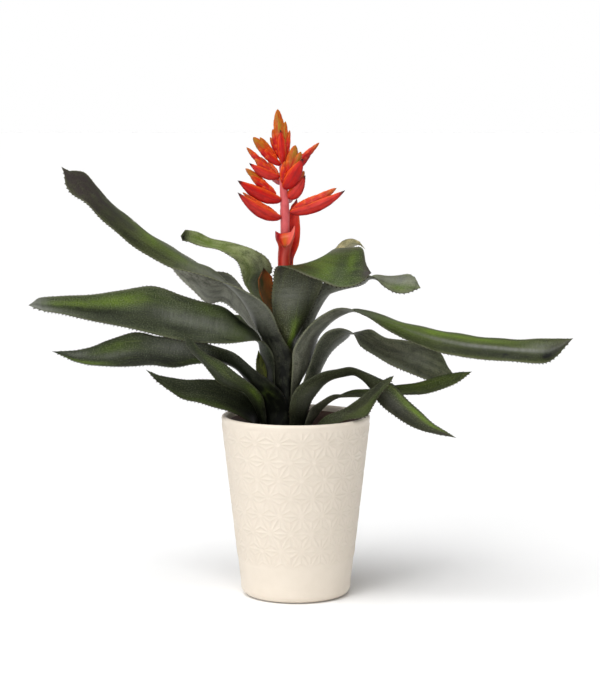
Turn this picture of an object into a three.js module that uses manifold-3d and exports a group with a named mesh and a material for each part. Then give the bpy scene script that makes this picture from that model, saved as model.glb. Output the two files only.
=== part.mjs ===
// A flowering bromeliad, in its plastic grower's pot inside a tapered ceramic cover pot.
// Millimetres, +Z up. The origin is the middle of the cover pot's flat base. The plant is seen
// from -Y in the photograph, so -Y is its front, -X its left and +X its right.
import * as THREE from 'three';
import { mergeVertices } from 'three/addons/utils/BufferGeometryUtils.js';
import Module from 'manifold-3d';

const wasm = await Module();
wasm.setup();

// Driving dimensions
const POT_HEIGHT = 170.6;
const POT_TOP_RADIUS = 70;
const POT_FOOT_RADIUS = 52;
const POT_FOOT_HEIGHT = 13.5;
const POT_BASE_RADIUS = 42.5;
const POT_WALL = 5;
const POT_FLOOR = 9;
const GROWER_RIM_DROP = 5;
const GROWER_RIM_RADIUS = 62;
const GROWER_BASE_RADIUS = 40;
const GROWER_WALL = 1.5;
const SOIL_LEVEL = 150;
const SOIL_HOLE_RADIUS = 31.5;
const SOIL_HOLE_DEPTH = 14;
const PLANT_X = -10;
const STOCK_TOP = 160;
const STOCK_RADIUS = 27;
const STOCK_TOP_RADIUS = 8;
const STOCK_SHOULDER = 142;
const SCAPE_RADIUS = 4.2;
const SCAPE_SIDES = 12;
const LEAF_MIDDLE = 1.2;
const LEAF_EDGE = 0.7;
const LEAF_STEP = 10;
const SHEATH_STEP = 26;
const TOOTH = 1.3;
const TOOTH_PLACE = 0.72;
const CLEARANCE = 0.3;

const GREEN = '#56652f';
const GREY_GREEN = '#4e5749';
const DARK_GREEN = '#333c25';
const BRACT_RED = '#cf2b1f';
const FLOWER_ORANGE = '#e0551f';

// Solids

function geometryOf(points, triangles) {
  const geometry = new THREE.BufferGeometry();
  const position = new Float32Array(points.flatMap((p) => [p.x, p.y, p.z]));
  geometry.setAttribute('position', new THREE.BufferAttribute(position, 3));
  geometry.setIndex(triangles.flat());
  geometry.computeVertexNormals();
  return geometry;
}

function quad(triangles, a, b, c, d) {
  triangles.push([a, b, c], [a, c, d]);
}

function arc(centreR, centreZ, radius, from, to, steps) {
  const points = [];
  for (let i = 0; i <= steps; i += 1) {
    const angle = THREE.MathUtils.degToRad(from + ((to - from) * i) / steps);
    points.push([centreR + radius * Math.cos(angle), centreZ + radius * Math.sin(angle)]);
  }
  return points;
}

// Rings of points, each given as an array, skinned and closed by a point at either end.
function skinned(rings, start, end) {
  const points = [...rings.flat(), start, end];
  const triangles = [];
  const sides = rings[0].length;
  const first = rings.length * sides;
  for (let side = 0; side < sides; side += 1) {
    const next = (side + 1) % sides;
    for (let ring = 0; ring < rings.length - 1; ring += 1) {
      const low = ring * sides;
      quad(triangles, low + side, low + next, low + sides + next, low + sides + side);
    }
    const last = (rings.length - 1) * sides;
    triangles.push([first, next, side]);
    triangles.push([first + 1, last + side, last + next]);
  }
  return geometryOf(points, triangles);
}

// A profile of [radius, height] pairs turned about an upright axis; its ends are on the axis.
function turned(profile, sides, x = 0) {
  const rings = profile.slice(1, -1).map(([radius, height]) => {
    const ring = [];
    for (let side = 0; side < sides; side += 1) {
      const angle = (2 * Math.PI * side) / sides;
      ring.push(new THREE.Vector3(x + radius * Math.cos(angle), radius * Math.sin(angle), height));
    }
    return ring;
  });
  const [start, end] = [profile[0], profile[profile.length - 1]];
  return skinned(rings, new THREE.Vector3(x, 0, start[1]), new THREE.Vector3(x, 0, end[1]));
}

function toSolid(geometry) {
  const plain = geometry.clone();
  plain.deleteAttribute('normal');
  const merged = mergeVertices(plain, 1e-3);
  const mesh = new wasm.Mesh({
    numProp: 3,
    vertProperties: new Float32Array(merged.attributes.position.array),
    triVerts: new Uint32Array(merged.index.array),
  });
  return new wasm.Manifold(mesh);
}

function toGeometry(solid) {
  const mesh = solid.getMesh();
  const geometry = new THREE.BufferGeometry();
  geometry.setAttribute('position', new THREE.BufferAttribute(new Float32Array(mesh.vertProperties), 3));
  geometry.setIndex(Array.from(mesh.triVerts));
  geometry.computeVertexNormals();
  return geometry;
}

// Leaves

// The sheath that clasps the plant's axis: two margins on a circle, and the depth of its trough.
function sheathRow(azimuth, radius, halfWidth, height) {
  const angle = THREE.MathUtils.degToRad(azimuth);
  const chord = Math.sqrt(radius ** 2 - halfWidth ** 2);
  const out = new THREE.Vector3(Math.cos(angle), Math.sin(angle), 0);
  const side = new THREE.Vector3(-Math.sin(angle), Math.cos(angle), 0);
  const middle = new THREE.Vector3(PLANT_X, 0, height).addScaledVector(out, chord);
  const left = middle.clone().addScaledVector(side, halfWidth);
  const right = middle.clone().addScaledVector(side, -halfWidth);
  return { left, right, gutter: radius - chord };
}

// How high a sheath starts: just clear of the cone of the stock that carries it.
function sheathFoot(radius) {
  const slope = (STOCK_TOP - STOCK_SHOULDER) / (STOCK_RADIUS - STOCK_TOP_RADIUS);
  return STOCK_TOP - (radius - 1 - STOCK_TOP_RADIUS) * slope + CLEARANCE;
}

// Stations along the leaf: both margins and the trough's depth, close enough for a smooth curve.
function stations(leaf) {
  const [azimuth, radius, halfWidth, top] = leaf.sheath;
  const foot = leaf.foot ?? sheathFoot(radius);
  const rows = [foot, (foot + top) / 2, top].map((z) => sheathRow(azimuth, radius, halfWidth, z));
  const sheathRows = rows.length - 1;
  for (const [lx, ly, lz, rx, ry, rz, gutter] of leaf.blade) {
    rows.push({ left: new THREE.Vector3(lx, ly, lz), right: new THREE.Vector3(rx, ry, rz), gutter });
  }
  const left = new THREE.CatmullRomCurve3(rows.map((row) => row.left), false, 'centripetal');
  const right = new THREE.CatmullRomCurve3(rows.map((row) => row.right), false, 'centripetal');
  const result = [];
  for (let i = 0; i < rows.length - 1; i += 1) {
    const span = (rows[i].left.distanceTo(rows[i + 1].left)
      + rows[i].right.distanceTo(rows[i + 1].right)) / 2;
    const steps = Math.max(1, Math.round(span / (i < sheathRows ? SHEATH_STEP : LEAF_STEP)));
    for (let k = 0; k < steps; k += 1) {
      const t = (i + k / steps) / (rows.length - 1);
      const gutter = THREE.MathUtils.lerp(rows[i].gutter, rows[i + 1].gutter, k / steps);
      result.push({ left: left.getPoint(t), right: right.getPoint(t), gutter, toothed: leaf.foot === undefined && i > sheathRows });
    }
  }
  result.push({ ...rows[rows.length - 1] });
  return result;
}

const COLUMNS = [-1, -0.5, 0, 0.5, 1];

function leafSolid(leaf) {
  const rows = stations(leaf);
  const tip = new THREE.Vector3(...leaf.tip);
  const middles = rows.map((row) => row.left.clone().add(row.right).multiplyScalar(0.5));
  const points = [];
  const triangles = [];
  const top = [];
  const under = [];
  const add = (point) => points.push(point) - 1;
  const frames = rows.map((row, i) => {
    const before = middles[Math.max(0, i - 1)];
    const after = i + 1 < rows.length ? middles[i + 1] : tip;
    const along = after.clone().sub(before).normalize();
    const across = row.left.clone().sub(row.right);
    const half = across.length() / 2;
    across.normalize();
    const up = along.clone().cross(across).normalize();
    return { across, up, half };
  });
  rows.forEach((row, i) => {
    const { across, up, half } = frames[i];
    top.push([]);
    under.push([]);
    for (const u of COLUMNS) {
      const slope = (2 * row.gutter * u) / half;
      const normal = up.clone().addScaledVector(across, -slope).normalize();
      const thickness = THREE.MathUtils.lerp(LEAF_MIDDLE, LEAF_EDGE, Math.abs(u)) / 2;
      const point = middles[i].clone().addScaledVector(across, u * half);
      point.addScaledVector(up, -row.gutter * (1 - u * u));
      top[i].push(add(point.clone().addScaledVector(normal, thickness)));
      under[i].push(add(point.addScaledVector(normal, -thickness)));
    }
  });
  // A tooth stands on the margin between two stations, leaning towards the tip.
  function tooth(i, outward) {
    const margin = outward > 0 ? 'left' : 'right';
    const point = rows[i][margin].clone().lerp(rows[i + 1][margin], TOOTH_PLACE);
    point.addScaledVector(frames[i].across, outward * TOOTH);
    const normal = frames[i].up;
    return [add(point.clone().addScaledVector(normal, LEAF_EDGE / 2)),
      add(point.addScaledVector(normal, -LEAF_EDGE / 2))];
  }
  const last = COLUMNS.length - 1;
  for (let i = 0; i < rows.length - 1; i += 1) {
    for (let j = 0; j < last; j += 1) {
      quad(triangles, top[i][j], top[i + 1][j], top[i + 1][j + 1], top[i][j + 1]);
      triangles.push([under[i][j], under[i + 1][j + 1], under[i + 1][j]]);
      triangles.push([under[i][j], under[i][j + 1], under[i + 1][j + 1]]);
    }
    if (rows[i].toothed) {
      const [rightTop, rightUnder] = tooth(i, -1);
      triangles.push([top[i][0], rightTop, top[i + 1][0]], [under[i][0], under[i + 1][0], rightUnder]);
      quad(triangles, top[i][0], under[i][0], rightUnder, rightTop);
      quad(triangles, rightTop, rightUnder, under[i + 1][0], top[i + 1][0]);
      const [leftTop, leftUnder] = tooth(i, 1);
      triangles.push([top[i][last], top[i + 1][last], leftTop]);
      triangles.push([under[i][last], leftUnder, under[i + 1][last]]);
      quad(triangles, top[i][last], leftTop, leftUnder, under[i][last]);
      quad(triangles, leftTop, top[i + 1][last], under[i + 1][last], leftUnder);
    } else {
      quad(triangles, top[i][0], under[i][0], under[i + 1][0], top[i + 1][0]);
      quad(triangles, top[i][last], top[i + 1][last], under[i + 1][last], under[i][last]);
    }
  }
  const end = rows.length - 1;
  const point = add(tip);
  for (let j = 0; j < last; j += 1) {
    quad(triangles, top[0][j], top[0][j + 1], under[0][j + 1], under[0][j]);
    triangles.push([top[end][j], point, top[end][j + 1]], [under[end][j], under[end][j + 1], point]);
  }
  triangles.push([top[end][0], under[end][0], point], [top[end][last], point, under[end][last]]);
  return geometryOf(points, triangles);
}

// Each leaf: the sheath's azimuth (degrees), radius, half width and top; then rows along the blade,
// each the left margin's place, the right margin's place (looking out along the leaf) and the depth
// of the trough between them, which is negative where the blade is arched; then the pointed tip.
const leaves = {
  leaf_left_high: {
    color: DARK_GREEN,
    sheath: [-111, 15, 9.5, 216],
    blade: [
      [-4, -15, 229, -25, -8, 228, 6],
      [-9, -20, 240, -29, -8, 239, 5],
      [-15, -26, 253, -35, -8, 251, 4.5],
      [-23, -33, 271, -42, -9, 265, 4],
      [-35, -40, 285, -50, -13, 279, 4],
      [-53, -46, 294, -60, -17, 294, 3],
      [-74, -50, 303, -77, -21, 309, 1.5],
      [-96, -54, 309, -93, -26, 317, 0],
      [-118, -56, 316, -113, -30, 330, -1.5],
      [-142, -59, 330, -132, -33, 342, -2.5],
      [-172, -61, 355, -163, -37, 367, -2.5],
      [-190, -63, 373, -180, -42, 385, -2],
      [-202, -63, 382, -191, -47, 399, -1.5],
      [-207, -62, 390, -198, -52, 401, -1],
      [-208, -60, 398, -204, -56, 401, 0],
    ],
    tip: [-211, -58, 405],
  },
  leaf_left_behind: {
    color: GREY_GREEN,
    sheath: [170, 10.2, 7.2, 226],
    blade: [
      [-23, -5, 242, -27, 10, 234, 4.5],
      [-30, 3, 258, -33, 16, 243, 4.5],
      [-38, 5, 272, -43, 18, 251, 4.5],
      [-47, 6, 286, -54, 18, 264, 4],
      [-62, 6, 302, -69, 20, 275, 3],
      [-78, 4, 306, -83, 22, 273, 2.5],
      [-93, 10, 313, -98, 25, 287, 2],
      [-107, 16, 321, -111, 27, 299, 1.5],
      [-116, 21, 327, -122, 28, 312, 1],
    ],
    tip: [-125, 27, 330],
  },
  leaf_left_broad: {
    color: GREEN,
    sheath: [-175, 17, 13, 214],
    blade: [
      [-22, -18, 232, -31, 9, 229, 6],
      [-29, -24, 242, -33, 4, 241, 4],
      [-40, -34, 244, -40, -4, 251, 2],
      [-51, -40, 244, -49, -12, 259, 1.5],
      [-69, -45, 243, -65, -20, 273, 2],
      [-87, -46, 244, -83, -28, 279, 2.5],
      [-109, -47, 247, -104, -34, 286, 2.5],
      [-133, -48, 253, -131, -37, 295, 3],
      [-162, -50, 260, -161, -40, 291, 3],
      [-187, -52, 265, -186, -44, 288, 2.5],
      [-211, -54, 271, -210, -48, 287, 2],
      [-229, -55, 274, -231, -51, 286, 1.5],
      [-238, -55, 277, -235, -53, 285, 1],
    ],
    tip: [-243, -54, 279],
  },
  leaf_left_low: {
    color: DARK_GREEN,
    sheath: [-118, 20.5, 11.4, 176],
    blade: [
      [-12, -26, 194, -33, -8, 186, 5],
      [-23, -33, 206, -41, -11, 197, 5],
      [-35, -38, 216, -49, -15, 209, 4.5],
      [-46, -42, 226, -58, -20, 218, 4],
      [-57, -44, 234, -68, -22, 222, 3.5],
      [-72, -44, 240, -78, -25, 223, 3],
      [-88, -43, 245, -92, -27, 222, 2.5],
      [-106, -42, 248, -111, -28, 219, 2.5],
      [-127, -40, 249, -131, -28, 221, 2.5],
      [-148, -38, 252.5, -151, -28, 220, 2.5],
      [-172, -36, 245, -175, -28, 220, 2.5],
      [-187, -34, 239, -192, -29, 221.5, 2],
      [-203, -32, 235, -205, -30, 225, 1],
    ],
    tip: [-225, -30, 234],
  },
  leaf_front_left: {
    color: DARK_GREEN,
    sheath: [-163, 23.5, 9.9, 164],
    blade: [
      [-28, -16, 177, -36, 3, 174, 4.5],
      [-30, -20, 189, -43, -2, 186, 5],
      [-37, -27, 199, -49, -9, 195, 4.5],
      [-47, -35, 209, -60, -19, 198, 4],
      [-58, -43, 218, -70, -29, 204, 3.5],
      [-69, -51, 228, -78, -39, 215, 3],
      [-79, -58, 234, -85, -49, 225, 2.5],
      [-87, -65, 241, -92, -58, 234, 2],
      [-93, -71, 250, -99, -66, 244, 1.2],
    ],
    tip: [-101, -74, 255],
  },
  leaf_left_lowest: {
    color: DARK_GREEN,
    sheath: [175, 26.3, 9.9, 153],
    blade: [
      [-37, -12, 161, -36, 8, 172, 4],
      [-48, -16, 169, -46, 3, 187, 3.5],
      [-62, -22, 177, -60, -3, 196, 3],
      [-77, -27, 182, -74, -10, 204, 3],
      [-89, -30, 186, -87, -15, 206, 2.5],
      [-103, -33, 190, -101, -20, 206, 2.5],
      [-116, -35, 198, -114, -27, 209, 1.5],
      [-128, -36, 207, -126, -33, 212, 0.8],
    ],
    tip: [-138, -37, 218],
  },
  leaf_upper_left: {
    color: GREEN,
    sheath: [-170, 8.2, 6.3, 248],
    blade: [
      [-31, -8, 268, -21, 10, 270, 4],
      [-40, -8, 283, -31, 9, 281, 3.5],
      [-47, -8, 295, -33, 8, 293, 3],
      [-50, -9, 304, -22, 5, 305, 2.5],
      [-52, -11, 311, -26, 2, 317, 2],
      [-55, -14, 317, -38, 0, 325, 1.5],
      [-61, -19, 322, -52, -2, 330, 1.5],
      [-71, -24, 327, -65, -4, 334, 1.5],
      [-82, -26, 330, -79, -6, 337, 2],
      [-92, -27, 333, -90, -9, 342, 2],
      [-98, -27, 335, -98, -12, 344, 2],
      [-104, -26, 336, -102, -15, 345, 1.5],
    ],
    tip: [-106, -21, 340],
  },
  leaf_front_folded: {
    color: GREEN,
    sheath: [-85, 10.2, 7.8, 236],
    blade: [
      [4, -12, 251, -15, -14, 249, 5],
      [12, -13, 265, -20, -16, 263, 4.5],
      [19, -15, 281, -22, -18, 280, 4],
      [25, -17, 296, -21, -21, 295, 3],
      [28, -19, 315, -18, -32, 311, 1.5],
      [31, -27, 325, -4, -52, 312, 1.5],
      [40, -41, 330, 17, -70, 305, 2],
      [52, -57, 332, 39, -79, 298, 2.5],
      [60, -66, 332, 55, -84, 301, 2],
      [63, -75, 319, 63, -84, 306, 1],
    ],
    tip: [68, -82, 311],
  },
  leaf_right_behind: {
    color: GREY_GREEN,
    sheath: [15, 9.8, 6.9, 238],
    blade: [
      [14, 15, 254, 3, -2, 256, 5],
      [24, 16, 272, 10, -3, 271, 4.5],
      [34, 15, 285, 16, -5, 284, 4],
      [42, 13, 287, 25, -8, 294, 4],
      [55, 10, 290, 38, -11, 301, 3.5],
      [65, 6, 294, 55, -14, 305, 3],
      [73, 2, 301, 73, -18, 301, 2],
      [86, 0, 301, 80, -20, 294, 1],
      [97, -3, 302, 91, -20, 288, 1],
      [106, -7, 303, 102, -19, 287, 1],
      [111, -10, 300, 109, -17, 289, 0.7],
    ],
    tip: [116, -14, 291],
  },
  leaf_back_right: {
    color: GREEN,
    sheath: [50, 7.2, 5.9, 256],
    blade: [
      [4, 12, 277, -5, 0, 279, 4],
      [17, 18, 294, 7, 4, 297, 3.5],
      [32, 26, 307, 22, 10, 311, 3],
      [44, 33, 317, 34, 16, 321, 2.5],
      [50, 38, 322, 44, 23, 332, 2],
      [57, 40, 327, 53, 28, 334, 1.5],
      [62, 40, 327, 60, 33, 331, 1],
    ],
    tip: [66, 37, 323],
  },
  leaf_right_long: {
    color: GREEN,
    sheath: [-15, 13, 10, 198],
    blade: [
      [13, 6, 216, -3, -16, 220, 5.5],
      [17, 4, 230, -2, -21, 234, 5],
      [21, 1, 243, 4, -25, 247, 4.5],
      [29, -3, 254, 13, -30, 258, 4],
      [38, -6, 263, 25, -35, 268, 4],
      [49, -10, 269, 38, -40, 275, 3.5],
      [56, -14, 272, 50, -44, 275, 2.5],
      [66, -17, 271, 62, -47, 269, 1],
      [83, -19, 265, 74, -48, 262, -1],
      [99, -20, 260, 88, -49, 254, -2.5],
      [115, -21, 256, 107, -49, 244, -3.5],
      [153, -22, 249, 147, -50, 232, -4],
      [189, -25, 245, 186, -51, 228, -4],
      [216, -29, 245, 215, -52, 226, -3.5],
      [232, -35, 246, 231, -51, 227, -2.5],
      [242, -40, 247, 241, -50, 234, -1.5],
    ],
    tip: [254, -46, 248],
  },
  leaf_right_middle: {
    color: GREY_GREEN,
    sheath: [0, 16.5, 11.9, 188],
    blade: [
      [19, 12, 202, 8, -10, 205, 5],
      [25, 11, 215, 12, -12, 218, 5],
      [32, 9, 226, 16, -15, 231, 4.5],
      [40, 6, 235, 21, -18, 242, 4],
      [47, 3, 242, 29, -22, 251, 4],
      [52, 0, 247, 41, -26, 255, 3],
      [60, -2, 249, 53, -29, 251, 2],
      [70, -3, 251, 60, -30, 239, 2],
      [85, -3, 243, 76, -28, 228, 2],
      [106, -2, 240, 95, -26, 218, 2],
      [127, -1, 234, 115, -23, 209, 2],
      [136, -2, 228, 130, -20, 204, 2],
      [142, -5, 217, 141, -16, 204, 1],
    ],
    tip: [149, -9, 208],
  },
  leaf_right_arched: {
    color: DARK_GREEN,
    sheath: [-41, 20, 12, 166],
    blade: [
      [14, -2, 182, -5, -23, 186, 6],
      [22, -6, 194, 1, -27, 199, 5.5],
      [28, -9, 202, 11, -31, 208, 5],
      [37, -13, 208, 24, -35, 215, 4.5],
      [48, -17, 211, 38, -39, 218, 4],
      [57, -21, 211, 51, -43, 221, 3.5],
      [65, -26, 205, 64, -46, 217, 3.5],
      [70, -32, 197, 77, -49, 211, 3.5],
      [77, -40, 188, 91, -52, 205, 3.5],
      [86, -46, 180, 100, -55, 195, 3],
      [100, -52, 171, 112, -60, 184, 2.5],
      [115, -59, 165, 124, -65, 173, 2],
      [130, -66, 162, 136, -69, 166, 1],
    ],
    tip: [146, -72, 160],
  },
  leaf_right_thin: {
    color: GREEN,
    sheath: [-15, 24, 10.9, 160],
    blade: [
      [22, 6, 172, 14, -12, 177, 4],
      [28, 4, 180, 23, -15, 185, 3.5],
      [39, 1, 188, 35, -19, 192, 3],
      [50, -3, 193, 49, -23, 191, 2],
      [66, -6, 195, 65, -27, 191, 2],
      [82, -11, 198, 83, -31, 193, 2],
      [99, -17, 201, 101, -35, 194, 2],
      [116, -23, 205, 118, -39, 196, 2],
      [131, -28, 210, 133, -42, 200, 1.5],
      [143, -34, 214, 145, -44, 205, 1],
      [152, -39, 216, 154, -44, 211, 0.7],
    ],
    tip: [162, -43, 217],
  },
  leaf_front_right: {
    color: GREEN,
    sheath: [-42, 27, 9, 152],
    blade: [
      [27, -24, 172, 34, -38, 166, 3.5],
      [46, -34, 182, 48, -42, 172, 3.5],
      [57, -44, 191, 64, -52, 177, 4],
      [66, -52, 200, 71, -58, 188, 3.5],
      [73, -58, 206, 77, -62, 198, 2.5],
      [79, -63, 211, 83, -66, 206, 1.5],
      [85, -68, 215, 87, -69, 212, 0.7],
    ],
    tip: [89, -72, 217],
  },
  leaf_small_left: {
    color: GREEN,
    sheath: [155, 19.4, 7.9, 192],
    blade: [
      [-37, 2, 211, -27, 17, 210, 3],
      [-37, 2, 221, -30, 15, 220, 2.5],
    ],
    tip: [-35, 5, 231],
  },
  leaf_back_high: {
    color: GREEN,
    sheath: [88, 12.2, 7.8, 236],
    blade: [
      [-22, 17, 254, -2, 19, 254, 4.5],
      [-23, 29, 270, 3, 28, 270, 4],
      [-19, 48, 284, 13, 44, 282, 3.5],
      [-9, 74, 295, 23, 62, 292, 3],
      [9, 104, 297, 37, 88, 294, 2.5],
      [28, 130, 291, 50, 113, 288, 2],
      [46, 147, 283, 58, 133, 281, 1.5],
    ],
    tip: [59, 148, 278],
  },
  leaf_back_middle: {
    color: DARK_GREEN,
    sheath: [82, 18.6, 11.4, 195],
    blade: [
      [-18, 24, 208, 6, 26, 208, 5],
      [-18, 36, 224, 9, 38, 224, 4.5],
      [-17, 54, 236, 12, 56, 236, 4],
      [-14, 80, 243, 16, 82, 242, 3],
      [-10, 112, 240, 20, 113, 239, 2.5],
      [-4, 144, 228, 21, 143, 227, 2],
      [2, 170, 213, 20, 168, 212, 1.5],
      [9, 184, 203, 17, 183, 202, 1],
    ],
    tip: [14, 190, 198],
  },
  leaf_back_left: {
    color: GREEN,
    sheath: [140, 14.6, 7.2, 218],
    blade: [
      [-28, 17, 230, -16, 26, 232, 4],
      [-34, 26, 241, -21, 37, 243, 4],
      [-46, 37, 250, -33, 50, 252, 3.5],
      [-66, 54, 256, -54, 68, 257, 3],
      [-90, 74, 255, -80, 88, 255, 2.5],
      [-113, 93, 248, -106, 105, 248, 2],
      [-130, 109, 239, -127, 116, 239, 1],
    ],
    tip: [-136, 118, 235],
  },
  leaf_back_low: {
    color: DARK_GREEN,
    sheath: [137, 24, 9.7, 162],
    blade: [
      [-39, 14, 171, -24, 31, 172, 4],
      [-53, 27, 181, -37, 44, 182, 3.5],
      [-69, 42, 188, -53, 60, 189, 3],
      [-86, 59, 192, -71, 76, 192, 2.5],
      [-101, 76, 192, -90, 90, 191, 2],
      [-112, 91, 189, -106, 99, 189, 1],
    ],
    tip: [-117, 103, 187],
  },
};

// Flower stalk

// The stalk's axis and radius from the stock up into the flower head.
const SCAPE_PATH = [
  [-10, 0, STOCK_TOP + CLEARANCE, 1],
  [-10, 0, 250, 1],
  [-10, 0, 340, 1],
  [-9.9, 0, 356, 1.04],
  [-10.4, 0, 372, 0.98],
  [-11.6, 0, 392, 0.85],
  [-12.9, 0, 409, 0.6],
  [-13.6, 0, 418, 0.35],
];

function scape(growth) {
  const rings = SCAPE_PATH.map(([x, y, z, swell]) => {
    const ring = [];
    for (let side = 0; side < SCAPE_SIDES; side += 1) {
      const angle = (2 * Math.PI * side) / SCAPE_SIDES;
      const radius = SCAPE_RADIUS * swell + growth;
      ring.push(new THREE.Vector3(x + radius * Math.cos(angle), y + radius * Math.sin(angle), z));
    }
    return ring;
  });
  const low = SCAPE_PATH[0];
  const high = SCAPE_PATH[SCAPE_PATH.length - 1];
  return skinned(rings, new THREE.Vector3(low[0], low[1], low[2] - growth),
    new THREE.Vector3(high[0], high[1], high[2] + 1 + growth));
}

// The stalk's bracts are made like the leaves, without teeth, and start at their own foot.
const bracts = {
  scape_bract_inner: {
    color: '#a5382b',
    foot: 232,
    sheath: [150, 5.4, 4.3, 246],
    blade: [
      [-22, -5, 262, -14, 5.5, 263, 2],
      [-29, -5, 275, -17.5, 6, 277, 2.5],
      [-34, -4, 288, -20.5, 6, 290, 2],
      [-35, -3, 298, -22, 6, 300, 1.5],
    ],
    tip: [-30, 1, 309],
  },
  scape_bract_curled: {
    color: BRACT_RED,
    foot: 294,
    sheath: [-108, 6.4, 5.8, 320],
    blade: [
      [-3.5, -2.5, 330, -16, -3, 329, 3.5],
      [-1.5, -4, 338, -18.5, -4.5, 336, 3.5],
      [0.5, -7, 344.5, -19.5, -8, 341.5, 2],
      [-0.5, -12, 340, -18.5, -13, 337, 1],
      [-4, -14, 333, -15.5, -14.5, 332, 1],
    ],
    tip: [-10, -14.5, 328.5],
  },
  scape_bract_right: {
    color: BRACT_RED,
    foot: 304,
    sheath: [35, 7.6, 6.2, 316],
    blade: [
      [-8.5, 6.5, 331, 2.6, 1, 330, 2.5],
      [-8, 7, 344, 4, 3, 343, 2],
      [-7, 7.5, 357, 3.2, 5, 356, 1.5],
      [-4, 8, 366, 2.4, 6.5, 365.5, 0.8],
    ],
    tip: [1.2, 7, 373],
  },
};

// Flower head

// How a pod swells along its length, from its root to just before its point.
const POD_SWELL = [[0.02, 0.45], [0.25, 0.95], [0.5, 1], [0.78, 0.6]];
const POD_SIDES = 6;

// A pointed, flattened pod from one place to another; sag bows its middle downwards.
function pod(from, to, width, thickness, sag, facing) {
  const start = new THREE.Vector3(...from);
  const end = new THREE.Vector3(...to);
  const along = end.clone().sub(start).normalize();
  const across = along.clone().cross(new THREE.Vector3(...facing)).normalize();
  const out = along.clone().cross(across).normalize();
  const rings = POD_SWELL.map(([t, swell]) => {
    const centre = start.clone().lerp(end, t);
    centre.z -= sag * 4 * t * (1 - t);
    const ring = [];
    for (let side = 0; side < POD_SIDES; side += 1) {
      const angle = (2 * Math.PI * side) / POD_SIDES;
      const point = centre.clone();
      point.addScaledVector(across, Math.cos(angle) * (width / 2) * swell);
      point.addScaledVector(out, Math.sin(angle) * (thickness / 2) * swell);
      ring.push(point);
    }
    return ring;
  });
  return skinned(rings, start, end);
}

// Each spike of the head: the way its flat side faces, then its pods. A pod is its root's place,
// its tip's place, its width, its thickness and its sag. The first pod is the spike's own bract.
const FRONT = [0, -1, 0];
const SIDE = [1, 0, 0];
const spikes = {
  spike_top: [FRONT,
    [-11.5, -2, 404, -14, -4, 437, 8, 5, 0],
    [-13.5, 0, 412, -16.7, 0, 455.8, 11.5, 7, 0],
    [-12, 0, 408, -23.7, 0, 430, 6, 5, 1],
    [-13.5, -1, 412, -21.4, -1, 437.4, 7, 5, 1.5],
    [-12, 0, 411, -9.5, 0, 444.5, 7.5, 5, 0],
    [-10.5, 0, 404, -5.5, 0, 436.5, 5.5, 5, 1],
    [-12.5, 2, 408, -14, 4, 441, 7.5, 5, 0],
  ],
  spike_left_upper: [FRONT,
    [-14, -3, 404, -31, -8, 419, 7, 5, 1],
    [-18, -3, 406, -39.3, -8, 430.2, 10, 5.5, 0],
    [-17, -2, 406, -31, -5, 427, 7.5, 5, 0],
    [-17, -4, 405, -36, -8, 424, 8, 5.5, 0.5],
    [-20, -3, 411, -33, -6, 430, 6.5, 5, 0],
  ],
  spike_left_second: [FRONT,
    [-14.5, -2, 393, -43, -10, 406.4, 9.5, 4.5, 3],
    [-18, -2, 395, -38, -5, 410, 8, 5.5, 1],
    [-22, -2, 398, -45.5, -3, 420.7, 6.5, 5, 1],
    [-20, -2, 396, -34, -3, 412, 6, 4.5, 0],
  ],
  spike_left_third: [FRONT,
    [-13, -3, 371, -53.6, -14, 390.6, 13, 5.5, 3],
    [-18, -3, 376, -42, -8, 395, 9, 5.5, 0],
    [-24, -4, 382, -46.4, -6, 401.3, 7.5, 5.5, 0],
  ],
  spike_left_fourth: [FRONT,
    [-13, -3, 355, -53.4, -22, 380, 12, 6, 5],
    [-17, -4, 359, -45, -17, 376, 8, 6, 3],
    [-20, -5, 362, -49, -18, 380, 5.5, 5, 2],
  ],
  spike_right_low: [FRONT,
    [-6, -3, 360, 45.8, -18, 381.7, 11, 5.5, 4],
    [-4, -3, 362, 37.5, -14, 383.5, 9, 5.5, 1.5],
    [-2, -3, 364, 22, -10, 377, 8, 6, 1],
  ],
  spike_front: [FRONT,
    [-11, -4, 382, 7, -13, 411, 14, 5.5, 2],
    [-7, -5, 393, -0.3, -9.5, 423, 11, 6, 0],
    [-6, -5, 392, 5, -10, 417, 8, 5.5, 0],
    [-12, -5, 387, -10, -8, 408, 7, 5, 0],
  ],
  spike_right_upper: [FRONT,
    [-10, 3, 396, 22.1, 6, 424.8, 7, 5.5, 0.5],
    [-9, 3, 396, 14, 6, 413, 7.5, 5.5, 1],
  ],
  spike_right_second: [FRONT,
    [-7, -1, 373, 9, -6, 395, 12, 6, 3],
    [-6, 0, 377, 8, -5, 399, 8, 6, 1],
  ],
  spike_back_low: [SIDE,
    [-8, 3, 371, 2, 44, 385, 10, 5, 3],
    [-6, 8, 374, 1, 38, 391, 7, 5, 0],
  ],
  spike_back_middle: [SIDE,
    [-12, 3, 387, -29, 36, 401, 9, 5, 2],
    [-14, 8, 390, -26, 30, 407, 7, 5, 0],
  ],
  spike_back_high: [SIDE,
    [-12, 3, 399, -12, 30, 428, 8, 5, 2],
    [-12, 6, 404, -13, 22, 431, 6, 4.5, 0],
  ],
};

// Assembly

const plant = new THREE.Group();

function place(name, geometry, color, roughness) {
  const material = new THREE.MeshStandardMaterial({ color, roughness, metalness: 0 });
  const mesh = new THREE.Mesh(geometry, material);
  mesh.name = name;
  plant.add(mesh);
}

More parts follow.
